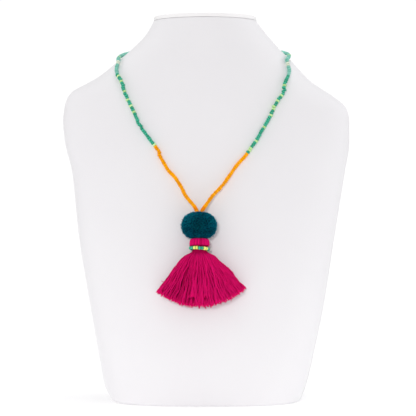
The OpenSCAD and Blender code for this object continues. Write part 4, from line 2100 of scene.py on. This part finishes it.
@dataclass(frozen=True)
class BeadBand:
    """Ring of seed beads that binds the tassel's throat, two green and two yellow by turns."""

    tassel: Tassel
    bead_diameter: float = 3.4 * MM
    fit_gap: float = 0.3 * MM
    tilt: float = 4.0
    beads: int = 22
    first_turn: float = 270.5
    bead_tilt: float = 0.06
    wobble: float = 0.08 * MM
    widths: Limits = (0.95, 1.03)
    bead_share: float = 0.96
    tones: Limits = (0.4, 1.0)
    order: tuple[Bead, ...] = (Bead.MAIN, Bead.MAIN, Bead.YELLOW, Bead.YELLOW)
    green_run: tuple[int, ...] = (-6, -5)
    seed: int = 3

    def dress(self) -> None:
        """Build the ring and give it its glass."""
        draw = random.Random(self.seed)
        ring = self.tassel.throat_width / 2 + self.fit_gap + self.bead_diameter / 2
        middle = Vector((0, -self.tassel.hanger.middle, -self.tassel.band_drop))
        level = Matrix.Translation(middle) @ Matrix.Rotation(math.radians(self.tilt), 4, "Y")
        bead = SeedBead().pattern()
        band = Blank("band")
        pitch = TAU * ring / self.beads
        for number in range(-self.beads // 2, self.beads // 2):
            way = level_way(math.radians(self.first_turn) + TAU * number / self.beads)
            tilt = draw.uniform(-self.bead_tilt, self.bead_tilt)
            ahead = Vector((-way.y, way.x, tilt)).normalized()
            spot = way * ring + Vector((0, 0, draw.gauss(0, self.wobble)))
            width = self.bead_diameter * draw.uniform(*self.widths)
            seat = SeedBead.seat(spot, ahead, width, pitch * self.bead_share, draw.random() * TAU)
            turned = self.order[number % len(self.order)]
            colour = Bead.MAIN if number in self.green_run else turned
            band.stamp(bead, seat, draw.uniform(*self.tones), colour.value)
        discard([bead])
        blank = Blank("throat_seed_beads")
        blank.take(band, self.tassel.to_object() @ level)
        blank.finish(LIME_GLASS.material(), "lime_glass", "bead_band")


# ---------------------------------------------------------------- studio


@dataclass(frozen=True)
class Lamp:
    """One soft box: where it stands, its size, its power and its colour."""

    name: str
    at: Triple
    size: float
    power: float
    colour: Triple = (1.0, 1.0, 1.0)


@dataclass(frozen=True)
class Studio:
    """White surround, soft boxes and the camera at the photograph's angle."""

    distance: float = 1.5
    focal_pixels: float = 1480.0
    aside: float = 0.002
    eye: float = 0.191
    sensor: float = 36.0
    floor_reach: float = 0.6
    surround_light: float = 0.55
    surround_seen: float = 1.05
    target: Triple = (0.0, 0.0, 0.19)
    lamps: tuple[Lamp, ...] = (
        Lamp("key_box", (-0.2, -1.75, 0.45), 0.25, 8.6, (1.0, 0.985, 0.985)),
        Lamp("left_box", (-1.6, 0.1, 0.8), 0.9, 5.0),
        Lamp("right_box", (1.6, 0.1, 0.8), 0.9, 7.5, (0.985, 0.99, 1.0)),
        Lamp("back_box", (0.2, 1.7, 0.9), 0.9, 2.5),
        Lamp("top_box", (0.0, 0.1, 2.2), 0.9, 9.0),
    )

    def floor(self) -> None:
        """Lay the pale floor that the bust stands on."""
        mesh = bmesh.new()
        bmesh.ops.create_grid(mesh, x_segments=8, y_segments=8, size=self.floor_reach)
        data = bpy.data.meshes.new("studio_floor")
        mesh.to_mesh(data)
        mesh.free()
        data.materials.append(PaleFloor().material())
        ground = bpy.data.objects.new("studio_floor", data)
        bpy.context.scene.collection.objects.link(ground)

    def light(self) -> None:
        """Set up the soft boxes and the surround, which looks whiter than it shines."""
        aim = Vector(self.target)
        for lamp in self.lamps:
            data = bpy.data.lights.new(lamp.name, "AREA")
            data.shape = "DISK"
            data.size = lamp.size
            data.energy = lamp.power
            data.color = lamp.colour
            box = bpy.data.objects.new(lamp.name, data)
            box.location = lamp.at
            box.rotation_euler = (aim - box.location).to_track_quat("-Z", "Y").to_euler()
            bpy.context.scene.collection.objects.link(box)
        white = (1, 1, 1, 1)
        sky = Shader(bpy.data.worlds.new("white_surround"))
        shines = sky.node("Background", {}, {"Color": white, "Strength": self.surround_light})
        looks = sky.node("Background", {}, {"Color": white, "Strength": self.surround_seen})
        seen = sky.node("LightPath", output="Is Camera Ray")
        surround = sky.node("MixShader", {}, {0: seen, 1: shines, 2: looks})
        sky.node("OutputWorld", {}, {"Surface": surround})
        bpy.context.scene.world = sky.owner
        bpy.context.scene.view_settings.view_transform = "Standard"

    def camera(self) -> None:
        """Place the camera level with the middle of the bust, straight in front."""
        data = bpy.data.cameras.new("camera")
        data.sensor_width = self.sensor
        data.lens = self.sensor * self.focal_pixels / PICTURE_SIDE
        eye = bpy.data.objects.new("camera", data)
        eye.location = (self.aside, -self.distance, self.eye)
        eye.rotation_euler = (math.pi / 2, 0, 0)
        bpy.context.scene.collection.objects.link(eye)
        bpy.context.scene.camera = eye


def main() -> None:
    """Build the bust and the necklace in order; each piece logs its triangle count."""
    logging.basicConfig(level=logging.INFO, format="%(message)s")
    studio = Studio()
    studio.camera()
    studio.floor()
    studio.light()
    bust = NeckBust()
    hanger = Hanger(bust)
    string = BeadString(bust, hanger)
    tassel = Tassel(hanger)
    bust.dress()
    string.dress()
    BarrelClasp(string).dress()
    Pompom(hanger).dress()
    tassel.dress()
    BeadBand(tassel).dress()


if __name__ == "__main__":
    main()
